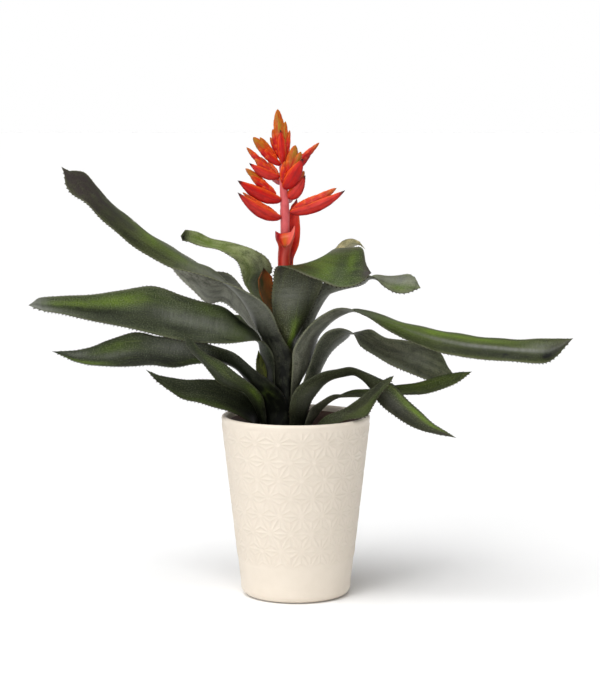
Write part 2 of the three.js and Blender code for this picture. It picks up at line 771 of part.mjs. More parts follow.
// The foot's and the rim's roundings join the straight taper between them.
const wallSlope = (POT_TOP_RADIUS - POT_FOOT_RADIUS) / (POT_HEIGHT - POT_FOOT_HEIGHT);
const outerRadius = (height) => POT_TOP_RADIUS - (POT_HEIGHT - height) * wallSlope;
const rimRadius = POT_WALL / 2;
const rimHeight = POT_HEIGHT - rimRadius;
place('cover_pot', turned([
  [0, 0],
  [POT_BASE_RADIUS, 0],
  ...arc(POT_FOOT_RADIUS - 9.2, 9.2, 9.2, -72, -18, 3),
  [POT_FOOT_RADIUS, POT_FOOT_HEIGHT],
  ...arc(outerRadius(rimHeight) - rimRadius, rimHeight, rimRadius, 0, 180, 4),
  [outerRadius(POT_FLOOR + 6) - POT_WALL, POT_FLOOR + 6],
  [outerRadius(POT_FLOOR) - POT_WALL - 5, POT_FLOOR],
  [0, POT_FLOOR],
], 64), '#f0e4d6', 0.55);

// The grower's pot stands on the cover pot's floor and ends in a turned-out lip.
const growerFloor = POT_FLOOR + CLEARANCE;
const growerRim = POT_HEIGHT - GROWER_RIM_DROP;
const growerSlope = (GROWER_RIM_RADIUS - 4 - GROWER_BASE_RADIUS) / (growerRim - growerFloor);
const growerRadius = (height) => GROWER_BASE_RADIUS + (height - growerFloor) * growerSlope;
place('nursery_pot', turned([
  [0, growerFloor],
  [GROWER_BASE_RADIUS - 1, growerFloor],
  [GROWER_BASE_RADIUS, growerFloor + 1.5],
  [growerRadius(growerRim - 9), growerRim - 9],
  [GROWER_RIM_RADIUS, growerRim - 8],
  [GROWER_RIM_RADIUS, growerRim],
  [GROWER_RIM_RADIUS - GROWER_WALL, growerRim],
  [growerRadius(growerRim - 6) - GROWER_WALL, growerRim - 6],
  [GROWER_BASE_RADIUS - GROWER_WALL, growerFloor + GROWER_WALL],
  [0, growerFloor + GROWER_WALL],
], 48), '#7a4a36', 0.6);

const soilFloor = growerFloor + GROWER_WALL + CLEARANCE;
const soilBody = toSolid(turned([
  [0, soilFloor],
  [growerRadius(soilFloor) - GROWER_WALL - CLEARANCE * 1.5, soilFloor],
  [growerRadius(SOIL_LEVEL) - GROWER_WALL - CLEARANCE * 1.5, SOIL_LEVEL - 2],
  [SOIL_HOLE_RADIUS + 8, SOIL_LEVEL],
  [0, SOIL_LEVEL],
], 36));
const holeFloor = SOIL_LEVEL - SOIL_HOLE_DEPTH;
const hole = toSolid(turned([
  [0, holeFloor],
  [SOIL_HOLE_RADIUS, holeFloor],
  [SOIL_HOLE_RADIUS, SOIL_LEVEL + 5],
  [0, SOIL_LEVEL + 5],
], 32, PLANT_X));
place('soil', toGeometry(soilBody.subtract(hole)), '#3b2a20', 0.95);

place('stock', turned([
  [0, holeFloor + CLEARANCE],
  [STOCK_RADIUS, holeFloor + CLEARANCE],
  [STOCK_RADIUS, STOCK_SHOULDER],
  [STOCK_TOP_RADIUS, STOCK_TOP],
  [0, STOCK_TOP],
], 32, PLANT_X), '#6d6a4a', 0.8);

place('scape', scape(0), '#e0666a', 0.45);

for (const [name, leaf] of Object.entries(leaves)) {
  place(name, leafSolid(leaf), leaf.color, 0.45);
}

for (const [name, bract] of Object.entries(bracts)) {
  place(name, leafSolid(bract), bract.color, 0.4);
}

const stalkRoom = toSolid(scape(CLEARANCE));
for (const [name, [facing, ...pods]] of Object.entries(spikes)) {
  const bodies = pods.map(([fx, fy, fz, tx, ty, tz, width, thickness, sag]) =>
    toSolid(pod([fx, fy, fz], [tx, ty, tz], width, thickness, sag, facing)));
  const whole = bodies.reduce((sum, body) => sum.add(body));
  place(name, toGeometry(whole.subtract(stalkRoom)), FLOWER_ORANGE, 0.4);
}

export default plant;
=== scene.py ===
"""A flowering bromeliad in its grower's pot, inside a tapered cream cover pot.

All is in the part's own frame: the origin is the middle of the cover pot's base, +Z is up, and the
photograph looks from -Y. The plant and the pots are written in millimetres, and each mesh is turned to
metres as it is made. The stage and the camera are in metres.
"""
import math
import random

import bpy
import numpy as np
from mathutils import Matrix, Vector, noise


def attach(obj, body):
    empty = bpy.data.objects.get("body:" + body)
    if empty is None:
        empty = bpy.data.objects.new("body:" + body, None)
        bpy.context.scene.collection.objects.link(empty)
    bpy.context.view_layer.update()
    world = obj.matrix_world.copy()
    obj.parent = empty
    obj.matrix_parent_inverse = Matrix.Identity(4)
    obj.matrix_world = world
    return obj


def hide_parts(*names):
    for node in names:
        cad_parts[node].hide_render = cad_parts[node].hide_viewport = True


MM = 0.001

# Cover pot
POT_HEIGHT = 170.6
POT_TOP_RADIUS = 70.0
POT_FOOT_RADIUS = 52.0
POT_FOOT_HEIGHT = 13.5
POT_FOOT_ROUNDING = 9.2
POT_BASE_RADIUS = 42.5
POT_WALL = 5.0
POT_FLOOR = 9.0
POT_SIDES = 440
WALL_SLOPE = (POT_TOP_RADIUS - POT_FOOT_RADIUS) / (POT_HEIGHT - POT_FOOT_HEIGHT)
# Its lattice: how many stars go round, how far apart the rows are and between which heights they lie, and
# how wide and high the ridges are. They sink into a low round eye at the middle of each star, which is this
# share of a ridge high, and the ground between them lies a little under the plain wall.
STARS_ROUND = 19
STAR_ROW = 17.0
STARS_LOW = 34.0
STARS_HIGH = 164.0
RIDGE_HALF = 0.75
RIDGE_HEIGHT = 0.68
EYE_RADIUS = 2.6
EYE_SHARE = 0.15
GROUND_DEPTH = 0.12

# Grower's pot and peat
CLEARANCE = 0.3
GROWER_FLOOR = POT_FLOOR + CLEARANCE
GROWER_RIM = 165.6
GROWER_RIM_RADIUS = 62.0
GROWER_BASE_RADIUS = 40.0
GROWER_WALL = 1.5
RIM_BAND = 4.0
GROWER_SLOPE = (GROWER_RIM_RADIUS - RIM_BAND - GROWER_BASE_RADIUS) / (GROWER_RIM - GROWER_FLOOR)
SOIL_LEVEL = 150.0
SOIL_FLOOR = 11.1
SOIL_DIP = 1.4
CRUMBS = 420

# Plant
PLANT_X = -10.0
STOCK_FOOT = 136.3
STOCK_TOP = 160.0
STOCK_RADIUS = 27.0
STOCK_TOP_RADIUS = 8.0
STOCK_SHOULDER = 142.0
SCAPE_RADIUS = 4.2
# The low ring on the stalk under the flower head, and the groove above it.
STALK_RING = 361.0
STALK_GROOVE = 364.5
LEAF_MIDDLE = 1.2
LEAF_EDGE = 0.7
# A blade's margins wave, each with its own length (a whole wave is 2 pi times as long). The waves grow over
# the first stretch from the foot, and reach their full height where the blade's half width is this or more.
LEFT_WAVE = 6.1
RIGHT_WAVE = 7.3
WAVE_GROWS = 60
WAVING_HALF = 10
# A curled bract's margins turn up from this far along it, over so long a stretch.
CURL_FROM = 44
CURL_GROWS = 6
# How far a tooth's foot reaches back and forward and its point forward, the gaps from tooth to tooth, and
# how far a tooth stands out on the lower margin and on the one that the trough turns inwards.
TOOTH_BACK = 1.4
TOOTH_FRONT = 0.8
TOOTH_POINT = 1.0
TOOTH_GAPS = (2.9, 4.1)
OUTER_TOOTH = 1.75
INNER_TOOTH = 0.8
# How deep a pod's groove is and how high its keel and scales are, as shares of its size, and how long a
# scale is.
POD_GROOVE = 0.18
POD_KEEL = 0.14
POD_SCALE = 0.13
SCALE_LENGTH = 9
# How far apart in the noise one blade or pod and the next are, so that no two are marked alike.
BLADE_APART = 31.0
POD_APART = 17.0

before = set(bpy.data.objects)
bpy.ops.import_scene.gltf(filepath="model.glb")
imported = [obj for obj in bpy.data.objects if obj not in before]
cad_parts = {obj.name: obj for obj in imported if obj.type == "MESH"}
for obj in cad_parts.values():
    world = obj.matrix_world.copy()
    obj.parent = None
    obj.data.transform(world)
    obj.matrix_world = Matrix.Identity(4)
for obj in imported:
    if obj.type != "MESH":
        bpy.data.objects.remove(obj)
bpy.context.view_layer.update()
scene = bpy.context.scene
random.seed(12)


# Shapes, in millimetres, as in the part

# A leaf's sheath is the way that it faces in degrees, its radius, its half width and the height of its top.
# Each row is a place on the left margin, the one across from it on the right margin, and the depth of the
# trough between them. The tip is the blade's point.
LEAVES = {
    "leaf_left_high": dict(sheath=(-111, 15, 9.5, 216), tip=(-211, -58, 405), rows=[
        (-4, -15, 229, -25, -8, 228, 6), (-9, -20, 240, -29, -8, 239, 5), (-15, -26, 253, -35, -8, 251, 4.5),
        (-23, -33, 271, -42, -9, 265, 4), (-35, -40, 285, -50, -13, 279, 4),
        (-53, -46, 294, -60, -17, 294, 3), (-74, -50, 303, -77, -21, 309, 1.5),
        (-96, -54, 309, -93, -26, 317, 0), (-118, -56, 316, -113, -30, 330, -1.5),
        (-142, -59, 330, -132, -33, 342, -2.5), (-172, -61, 355, -163, -37, 367, -2.5),
        (-190, -63, 373, -180, -42, 385, -2), (-202, -63, 382, -191, -47, 399, -1.5),
        (-207, -62, 390, -198, -52, 401, -1), (-208, -60, 398, -204, -56, 401, 0),
    ]),
    "leaf_left_behind": dict(sheath=(170, 10.2, 7.2, 226), tip=(-125, 27, 330), rows=[
        (-23, -5, 242, -27, 10, 234, 4.5), (-30, 3, 258, -33, 16, 243, 4.5),
        (-38, 5, 272, -43, 18, 251, 4.5), (-47, 6, 286, -54, 18, 264, 4), (-62, 6, 302, -69, 20, 275, 3),
        (-78, 4, 306, -83, 22, 273, 2.5), (-93, 10, 313, -98, 25, 287, 2),
        (-107, 16, 321, -111, 27, 299, 1.5), (-116, 21, 327, -122, 28, 312, 1),
    ]),
    "leaf_left_broad": dict(sheath=(-175, 17, 13, 214), tip=(-243, -54, 279), rows=[
        (-22, -18, 232, -31, 9, 229, 6), (-29, -24, 242, -33, 4, 241, 4), (-40, -34, 244, -40, -4, 251, 2),
        (-51, -40, 244, -49, -12, 259, 1.5), (-69, -45, 243, -65, -20, 273, 2),
        (-87, -46, 244, -83, -28, 279, 2.5), (-109, -47, 247, -104, -34, 286, 2.5),
        (-133, -48, 253, -131, -37, 295, 3), (-162, -50, 260, -161, -40, 291, 3),
        (-187, -52, 265, -186, -44, 288, 2.5), (-211, -54, 271, -210, -48, 287, 2),
        (-229, -55, 274, -231, -51, 286, 1.5), (-238, -55, 277, -235, -53, 285, 1),
    ]),
    "leaf_left_low": dict(sheath=(-118, 20.5, 11.4, 176), tip=(-225, -30, 234), rows=[
        (-12, -26, 194, -33, -8, 186, 5), (-23, -33, 206, -41, -11, 197, 5),
        (-35, -38, 216, -49, -15, 209, 4.5), (-46, -42, 226, -58, -20, 218, 4),
        (-57, -44, 234, -68, -22, 222, 3.5), (-72, -44, 240, -78, -25, 223, 3),
        (-88, -43, 245, -92, -27, 222, 2.5), (-106, -42, 248, -111, -28, 219, 2.5),
        (-127, -40, 249, -131, -28, 221, 2.5), (-148, -38, 252.5, -151, -28, 220, 2.5),
        (-172, -36, 245, -175, -28, 220, 2.5), (-187, -34, 239, -192, -29, 221.5, 2),
        (-203, -32, 235, -205, -30, 225, 1),
    ]),
    "leaf_front_left": dict(sheath=(-163, 23.5, 9.9, 164), tip=(-101, -74, 255), rows=[
        (-28, -16, 177, -36, 3, 174, 4.5), (-30, -20, 189, -43, -2, 186, 5),
        (-37, -27, 199, -49, -9, 195, 4.5), (-47, -35, 209, -60, -19, 198, 4),
        (-58, -43, 218, -70, -29, 204, 3.5), (-69, -51, 228, -78, -39, 215, 3),
        (-79, -58, 234, -85, -49, 225, 2.5), (-87, -65, 241, -92, -58, 234, 2),
        (-93, -71, 250, -99, -66, 244, 1.2),
    ]),
    "leaf_left_lowest": dict(sheath=(175, 26.3, 9.9, 153), tip=(-138, -37, 218), rows=[
        (-37, -12, 161, -36, 8, 172, 4), (-48, -16, 169, -46, 3, 187, 3.5), (-62, -22, 177, -60, -3, 196, 3),
        (-77, -27, 182, -74, -10, 204, 3), (-89, -30, 186, -87, -15, 206, 2.5),
        (-103, -33, 190, -101, -20, 206, 2.5), (-116, -35, 198, -114, -27, 209, 1.5),
        (-128, -36, 207, -126, -33, 212, 0.8),
    ]),
    "leaf_upper_left": dict(sheath=(-170, 8.2, 6.3, 248), tip=(-106, -21, 340), rows=[
        (-31, -8, 268, -21, 10, 270, 4), (-40, -8, 283, -31, 9, 281, 3.5), (-47, -8, 295, -33, 8, 293, 3),
        (-50, -9, 304, -22, 5, 305, 2.5), (-52, -11, 311, -26, 2, 317, 2), (-55, -14, 317, -38, 0, 325, 1.5),
        (-61, -19, 322, -52, -2, 330, 1.5), (-71, -24, 327, -65, -4, 334, 1.5),
        (-82, -26, 330, -79, -6, 337, 2), (-92, -27, 333, -90, -9, 342, 2),
        (-98, -27, 335, -98, -12, 344, 2), (-104, -26, 336, -102, -15, 345, 1.5),
    ]),
    "leaf_front_folded": dict(sheath=(-85, 10.2, 7.8, 236), tip=(68, -82, 311), rows=[
        (4, -12, 251, -15, -14, 249, 5), (12, -13, 265, -20, -16, 263, 4.5),
        (19, -15, 281, -22, -18, 280, 4), (25, -17, 296, -21, -21, 295, 3),
        (28, -19, 315, -18, -32, 311, 1.5), (31, -27, 325, -4, -52, 312, 1.5),
        (40, -41, 330, 17, -70, 305, 2), (52, -57, 332, 39, -79, 298, 2.5), (60, -66, 332, 55, -84, 301, 2),
        (63, -75, 319, 63, -84, 306, 1),
    ]),
    "leaf_right_behind": dict(sheath=(15, 9.8, 6.9, 238), tip=(116, -14, 291), rows=[
        (14, 15, 254, 3, -2, 256, 5), (24, 16, 272, 10, -3, 271, 4.5), (34, 15, 285, 16, -5, 284, 4),
        (42, 13, 287, 25, -8, 294, 4), (55, 10, 290, 38, -11, 301, 3.5), (65, 6, 294, 55, -14, 305, 3),
        (73, 2, 301, 73, -18, 301, 2), (86, 0, 301, 80, -20, 294, 1), (97, -3, 302, 91, -20, 288, 1),
        (106, -7, 303, 102, -19, 287, 1), (111, -10, 300, 109, -17, 289, 0.7),
    ]),
    "leaf_back_right": dict(sheath=(50, 7.2, 5.9, 256), tip=(66, 37, 323), rows=[
        (4, 12, 277, -5, 0, 279, 4), (17, 18, 294, 7, 4, 297, 3.5), (32, 26, 307, 22, 10, 311, 3),
        (44, 33, 317, 34, 16, 321, 2.5), (50, 38, 322, 44, 23, 332, 2), (57, 40, 327, 53, 28, 334, 1.5),
        (62, 40, 327, 60, 33, 331, 1),
    ]),
    "leaf_right_long": dict(sheath=(-15, 13, 10, 198), tip=(254, -46, 248), rows=[
        (13, 6, 216, -3, -16, 220, 5.5), (17, 4, 230, -2, -21, 234, 5), (21, 1, 243, 4, -25, 247, 4.5),
        (29, -3, 254, 13, -30, 258, 4), (38, -6, 263, 25, -35, 268, 4), (49, -10, 269, 38, -40, 275, 3.5),
        (56, -14, 272, 50, -44, 275, 2.5), (66, -17, 271, 62, -47, 269, 1), (83, -19, 265, 74, -48, 262, -1),
        (99, -20, 260, 88, -49, 254, -2.5), (115, -21, 256, 107, -49, 244, -3.5),
        (153, -22, 249, 147, -50, 232, -4), (189, -25, 245, 186, -51, 228, -4),
        (216, -29, 245, 215, -52, 226, -3.5), (232, -35, 246, 231, -51, 227, -2.5),
        (242, -40, 247, 241, -50, 234, -1.5),
    ]),
    "leaf_right_middle": dict(sheath=(0, 16.5, 11.9, 188), tip=(149, -9, 208), rows=[
        (19, 12, 202, 8, -10, 205, 5), (25, 11, 215, 12, -12, 218, 5), (32, 9, 226, 16, -15, 231, 4.5),
        (40, 6, 235, 21, -18, 242, 4), (47, 3, 242, 29, -22, 251, 4), (52, 0, 247, 41, -26, 255, 3),
        (60, -2, 249, 53, -29, 251, 2), (70, -3, 251, 60, -30, 239, 2), (85, -3, 243, 76, -28, 228, 2),
        (106, -2, 240, 95, -26, 218, 2), (127, -1, 234, 115, -23, 209, 2), (136, -2, 228, 130, -20, 204, 2),
        (142, -5, 217, 141, -16, 204, 1),
    ]),
    "leaf_right_arched": dict(sheath=(-41, 20, 12, 166), tip=(146, -72, 160), rows=[
        (14, -2, 182, -5, -23, 186, 6), (22, -6, 194, 1, -27, 199, 5.5), (28, -9, 202, 11, -31, 208, 5),
        (37, -13, 208, 24, -35, 215, 4.5), (48, -17, 211, 38, -39, 218, 4),
        (57, -21, 211, 51, -43, 221, 3.5), (65, -26, 205, 64, -46, 217, 3.5),
        (70, -32, 197, 77, -49, 211, 3.5), (77, -40, 188, 91, -52, 205, 3.5),
        (86, -46, 180, 100, -55, 195, 3), (100, -52, 171, 112, -60, 184, 2.5),
        (115, -59, 165, 124, -65, 173, 2), (130, -66, 162, 136, -69, 166, 1),
    ]),
    "leaf_right_thin": dict(sheath=(-15, 24, 10.9, 160), tip=(162, -43, 217), rows=[
        (22, 6, 172, 14, -12, 177, 4), (28, 4, 180, 23, -15, 185, 3.5), (39, 1, 188, 35, -19, 192, 3),
        (50, -3, 193, 49, -23, 191, 2), (66, -6, 195, 65, -27, 191, 2), (82, -11, 198, 83, -31, 193, 2),
        (99, -17, 201, 101, -35, 194, 2), (116, -23, 205, 118, -39, 196, 2),
        (131, -28, 210, 133, -42, 200, 1.5), (143, -34, 214, 145, -44, 205, 1),
        (152, -39, 216, 154, -44, 211, 0.7),
    ]),
    "leaf_front_right": dict(sheath=(-42, 27, 9, 152), tip=(89, -72, 217), rows=[
        (27, -24, 172, 34, -38, 166, 3.5), (46, -34, 182, 48, -42, 172, 3.5),
        (57, -44, 191, 64, -52, 177, 4), (66, -52, 200, 71, -58, 188, 3.5),
        (73, -58, 206, 77, -62, 198, 2.5), (79, -63, 211, 83, -66, 206, 1.5),
        (85, -68, 215, 87, -69, 212, 0.7),
    ]),
    "leaf_small_left": dict(sheath=(155, 19.4, 7.9, 192), tip=(-35, 5, 231), rows=[
        (-37, 2, 211, -27, 17, 210, 3), (-37, 2, 221, -30, 15, 220, 2.5),
    ]),
    "leaf_back_high": dict(sheath=(88, 12.2, 7.8, 236), tip=(59, 148, 278), rows=[
        (-22, 17, 254, -2, 19, 254, 4.5), (-23, 29, 270, 3, 28, 270, 4), (-19, 48, 284, 13, 44, 282, 3.5),
        (-9, 74, 295, 23, 62, 292, 3), (9, 104, 297, 37, 88, 294, 2.5), (28, 130, 291, 50, 113, 288, 2),
        (46, 147, 283, 58, 133, 281, 1.5),
    ]),
    "leaf_back_middle": dict(sheath=(82, 18.6, 11.4, 195), tip=(14, 190, 198), rows=[
        (-18, 24, 208, 6, 26, 208, 5), (-18, 36, 224, 9, 38, 224, 4.5), (-17, 54, 236, 12, 56, 236, 4),
        (-14, 80, 243, 16, 82, 242, 3), (-10, 112, 240, 20, 113, 239, 2.5), (-4, 144, 228, 21, 143, 227, 2),
        (2, 170, 213, 20, 168, 212, 1.5), (9, 184, 203, 17, 183, 202, 1),
    ]),
    "leaf_back_left": dict(sheath=(140, 14.6, 7.2, 218), tip=(-136, 118, 235), rows=[
        (-28, 17, 230, -16, 26, 232, 4), (-34, 26, 241, -21, 37, 243, 4), (-46, 37, 250, -33, 50, 252, 3.5),
        (-66, 54, 256, -54, 68, 257, 3), (-90, 74, 255, -80, 88, 255, 2.5),
        (-113, 93, 248, -106, 105, 248, 2), (-130, 109, 239, -127, 116, 239, 1),
    ]),
    "leaf_back_low": dict(sheath=(137, 24, 9.7, 162), tip=(-117, 103, 187), rows=[
        (-39, 14, 171, -24, 31, 172, 4), (-53, 27, 181, -37, 44, 182, 3.5), (-69, 42, 188, -53, 60, 189, 3),
        (-86, 59, 192, -71, 76, 192, 2.5), (-101, 76, 192, -90, 90, 191, 2),
        (-112, 91, 189, -106, 99, 189, 1),
    ]),
}
# A bract's foot is the height where its sheath starts on the stalk. Its taper is how soon it narrows to its
# point, and its curl how far its margins turn up and inwards.
STALK_BRACTS = {
    "scape_bract_inner": dict(foot=232, sheath=(150, 5.4, 4.3, 246), tip=(-30, 1, 309), rows=[
        (-22, -5, 262, -14, 5.5, 263, 2), (-29, -5, 275, -17.5, 6, 277, 2.5),
        (-34, -4, 288, -20.5, 6, 290, 2), (-35, -3, 298, -22, 6, 300, 1.5),
    ]),
    "scape_bract_curled": dict(
        foot=294, sheath=(-108, 6.4, 5.8, 320), tip=(-10, -14.5, 328.5), taper=0.6, curl=3.0, rows=[
        (-3.5, -2.5, 330, -16, -3, 329, 3.5), (-1.5, -4, 338, -18.5, -4.5, 336, 3.5),
        (0.5, -7, 344.5, -19.5, -8, 341.5, 2), (-0.5, -12, 340, -18.5, -13, 337, 1),
        (-4, -14, 333, -15.5, -14.5, 332, 1),
    ]),
    "scape_bract_right": dict(foot=304, sheath=(35, 7.6, 6.2, 316), tip=(1.2, 7, 373), rows=[
        (-8.5, 6.5, 331, 2.6, 1, 330, 2.5), (-8, 7, 344, 4, 3, 343, 2), (-7, 7.5, 357, 3.2, 5, 356, 1.5),
        (-4, 8, 366, 2.4, 6.5, 365.5, 0.8),
    ]),
}
# The way that a spike's pods are flat towards, and then each pod: where it starts and ends, its width,
# thickness and sag, and how it ripens. A dark one is a large plain bract with a dark point, and the others
# are cones of scales, which turn olive near the point (orange) or from low down (olive).
SPIKES = {
    "spike_top": ("front", [
        (-11.5, -2, 404, -14, -4, 437, 8, 5, 0, "dark"),
        (-13.5, 0, 412, -16.7, 0, 455.8, 11.5, 7, 0, "olive"),
        (-12, 0, 408, -23.7, 0, 430, 6, 5, 1, "orange"),
        (-13.5, -1, 412, -21.4, -1, 437.4, 7, 5, 1.5, "orange"),
        (-12, 0, 411, -9.5, 0, 444.5, 7.5, 5, 0, "olive"),
        (-10.5, 0, 404, -5.5, 0, 436.5, 5.5, 5, 1, "orange"),
        (-12.5, 2, 408, -14, 4, 441, 7.5, 5, 0, "orange"),
    ]),
    "spike_left_upper": ("front", [
        (-14, -3, 404, -31, -8, 419, 7, 5, 1, "dark"), (-18, -3, 406, -39.3, -8, 430.2, 10, 5.5, 0, "olive"),
        (-17, -2, 406, -31, -5, 427, 7.5, 5, 0, "orange"),
        (-17, -4, 405, -36, -8, 424, 8, 5.5, 0.5, "orange"),
        (-20, -3, 411, -33, -6, 430, 6.5, 5, 0, "olive"),
    ]),
    "spike_left_second": ("front", [
        (-14.5, -2, 393, -43, -10, 406.4, 9.5, 4.5, 3, "dark"),
        (-18, -2, 395, -38, -5, 410, 8, 5.5, 1, "orange"),
        (-22, -2, 398, -45.5, -3, 420.7, 6.5, 5, 1, "orange"),
        (-20, -2, 396, -34, -3, 412, 6, 4.5, 0, "orange"),
    ]),
    "spike_left_third": ("front", [
        (-13, -3, 371, -53.6, -14, 390.6, 13, 5.5, 3, "dark"),
        (-18, -3, 376, -42, -8, 395, 9, 5.5, 0, "orange"),
        (-24, -4, 382, -46.4, -6, 401.3, 7.5, 5.5, 0, "olive"),
    ]),
    "spike_left_fourth": ("front", [
        (-13, -3, 355, -53.4, -22, 380, 12, 6, 5, "dark"), (-17, -4, 359, -45, -17, 376, 8, 6, 3, "orange"),
        (-20, -5, 362, -49, -18, 380, 5.5, 5, 2, "orange"),
    ]),
    "spike_right_low": ("front", [
        (-6, -3, 360, 45.8, -18, 381.7, 11, 5.5, 4, "dark"),
        (-4, -3, 362, 37.5, -14, 383.5, 9, 5.5, 1.5, "orange"),
        (-2, -3, 364, 22, -10, 377, 8, 6, 1, "orange"),
    ]),
    "spike_front": ("front", [
        (-11, -4, 382, 7, -13, 411, 14, 5.5, 2, "dark"), (-7, -5, 393, -0.3, -9.5, 423, 11, 6, 0, "olive"),
        (-6, -5, 392, 5, -10, 417, 8, 5.5, 0, "olive"), (-12, -5, 387, -10, -8, 408, 7, 5, 0, "orange"),
    ]),
    "spike_right_upper": ("front", [
        (-10, 3, 396, 22.1, 6, 424.8, 7, 5.5, 0.5, "orange"), (-9, 3, 396, 14, 6, 413, 7.5, 5.5, 1, "dark"),
    ]),
    "spike_right_second": ("front", [
        (-7, -1, 373, 9, -6, 395, 12, 6, 3, "dark"), (-6, 0, 377, 8, -5, 399, 8, 6, 1, "orange"),
    ]),
    "spike_back_low": ("side", [
        (-8, 3, 371, 2, 44, 385, 10, 5, 3, "dark"), (-6, 8, 374, 1, 38, 391, 7, 5, 0, "orange"),
    ]),
    "spike_back_middle": ("side", [
        (-12, 3, 387, -29, 36, 401, 9, 5, 2, "dark"), (-14, 8, 390, -26, 30, 407, 7, 5, 0, "orange"),
    ]),
    "spike_back_high": ("side", [
        (-12, 3, 399, -12, 30, 428, 8, 5, 2, "dark"), (-12, 6, 404, -13, 22, 431, 6, 4.5, 0, "olive"),
    ]),
}
# The lowest spikes have opened longest, and have paled from deep red to coral.
PALED_SPIKES = ("spike_left_fourth", "spike_left_second", "spike_right_low", "spike_right_second")

# How a pod swells from its root to its point: a bract is drawn out, and a cone is blunter.
BRACT_OUTLINE = (
    (0.0, 0.0), (0.04, 0.45), (0.14, 0.72), (0.28, 0.95), (0.5, 1.0), (0.7, 0.8), (0.86, 0.45), (0.95, 0.19),
    (1.0, 0.0),
)
CONE_OUTLINE = (
    (0.0, 0.0), (0.04, 0.45), (0.2, 0.85), (0.45, 1.0), (0.7, 0.86), (0.86, 0.6), (0.96, 0.3), (1.0, 0.0),
)
# From what share of its length a pod ripens to olive, and dries to a dark point; past 1 it never does.
RIPENING = {"dark": (2.0, 0.88), "orange": (0.72, 2.0), "olive": (0.3, 2.0)}
FACING = {"front": np.array([0.0, -1.0, 0.0]), "side": np.array([1.0, 0.0, 0.0])}

# The flower stalk's middle, its height, and its thickness as a share of the full one.
SCAPE_PATH = (
    (-10, 160.3, 1), (-10, 250, 1), (-10, 340, 1), (-9.9, 356, 1.04), (-10.4, 372, 0.98), (-11.6, 392, 0.85),
    (-12.9, 409, 0.6), (-13.6, 418, 0.35),
)


# Colours and markings

# A leaf's upper and under face, how strong the painted shade at its foot is, how far up that reaches in mm,
# and how pale its margins are. The faces are lit and shaded copies of one green, which is painted light and
# shade: lighter on leaves that catch the light or are lit through, darker on shaded ones.
LEAF_TONES = {
    "usual": ("#3c452a", "#48493e", 0.8, 55, 0.25),
    "leaf_left_high": ("#4f5632", "#5e5f52", 1.0, 100, 0.5),
    "leaf_left_behind": ("#5a6244", "#919183", 0.8, 50, 0.5),
    "leaf_left_broad": ("#464d35", "#4e5644", 0.95, 84, 0.35),
    "leaf_left_low": ("#2b3420", "#202417", 1.0, 70, 0.1),
    "leaf_front_left": ("#3a4226", "#343a26", 0.9, 45, 0.15),
    "leaf_left_lowest": ("#363b2a", "#2d3022", 0.85, 50, 0.1),
    "leaf_upper_left": ("#959e70", "#646a4a", 0.8, 55, 0.25),
    "leaf_front_folded": ("#435325", "#45472f", 0.6, 30, 0.3),
    "leaf_right_behind": ("#7b8064", "#76786a", 0.8, 55, 0.25),
    # Its pale straw under face is painted light shining through the leaf.
    "leaf_back_right": ("#8c8866", "#ead9a6", 0.8, 55, 0.25),
    "leaf_right_long": ("#4c552b", "#6d6d5e", 0.6, 24, 0.5),
    "leaf_right_middle": ("#6c6f58", "#616355", 0.9, 36, 0.35),
    "leaf_right_arched": ("#3e472c", "#42452e", 0.85, 30, 0.1),
    "leaf_right_thin": ("#454f25", "#6c6e58", 0.7, 26, 0.1),
    "leaf_front_right": ("#3e442a", "#383c28", 0.9, 22, 0.1),
    # Its light yellow-green is lifted to make up for the shade it stands in: painted light.
    "leaf_small_left": ("#c0ca62", "#a8b258", 0.0, 20, 0.2),
}
# The bracts on the stalk have no painted shade at the foot and no pale margins.
BRACT_FOOT_SHADE_AND_RIM = (0.0, 20, 0.0)
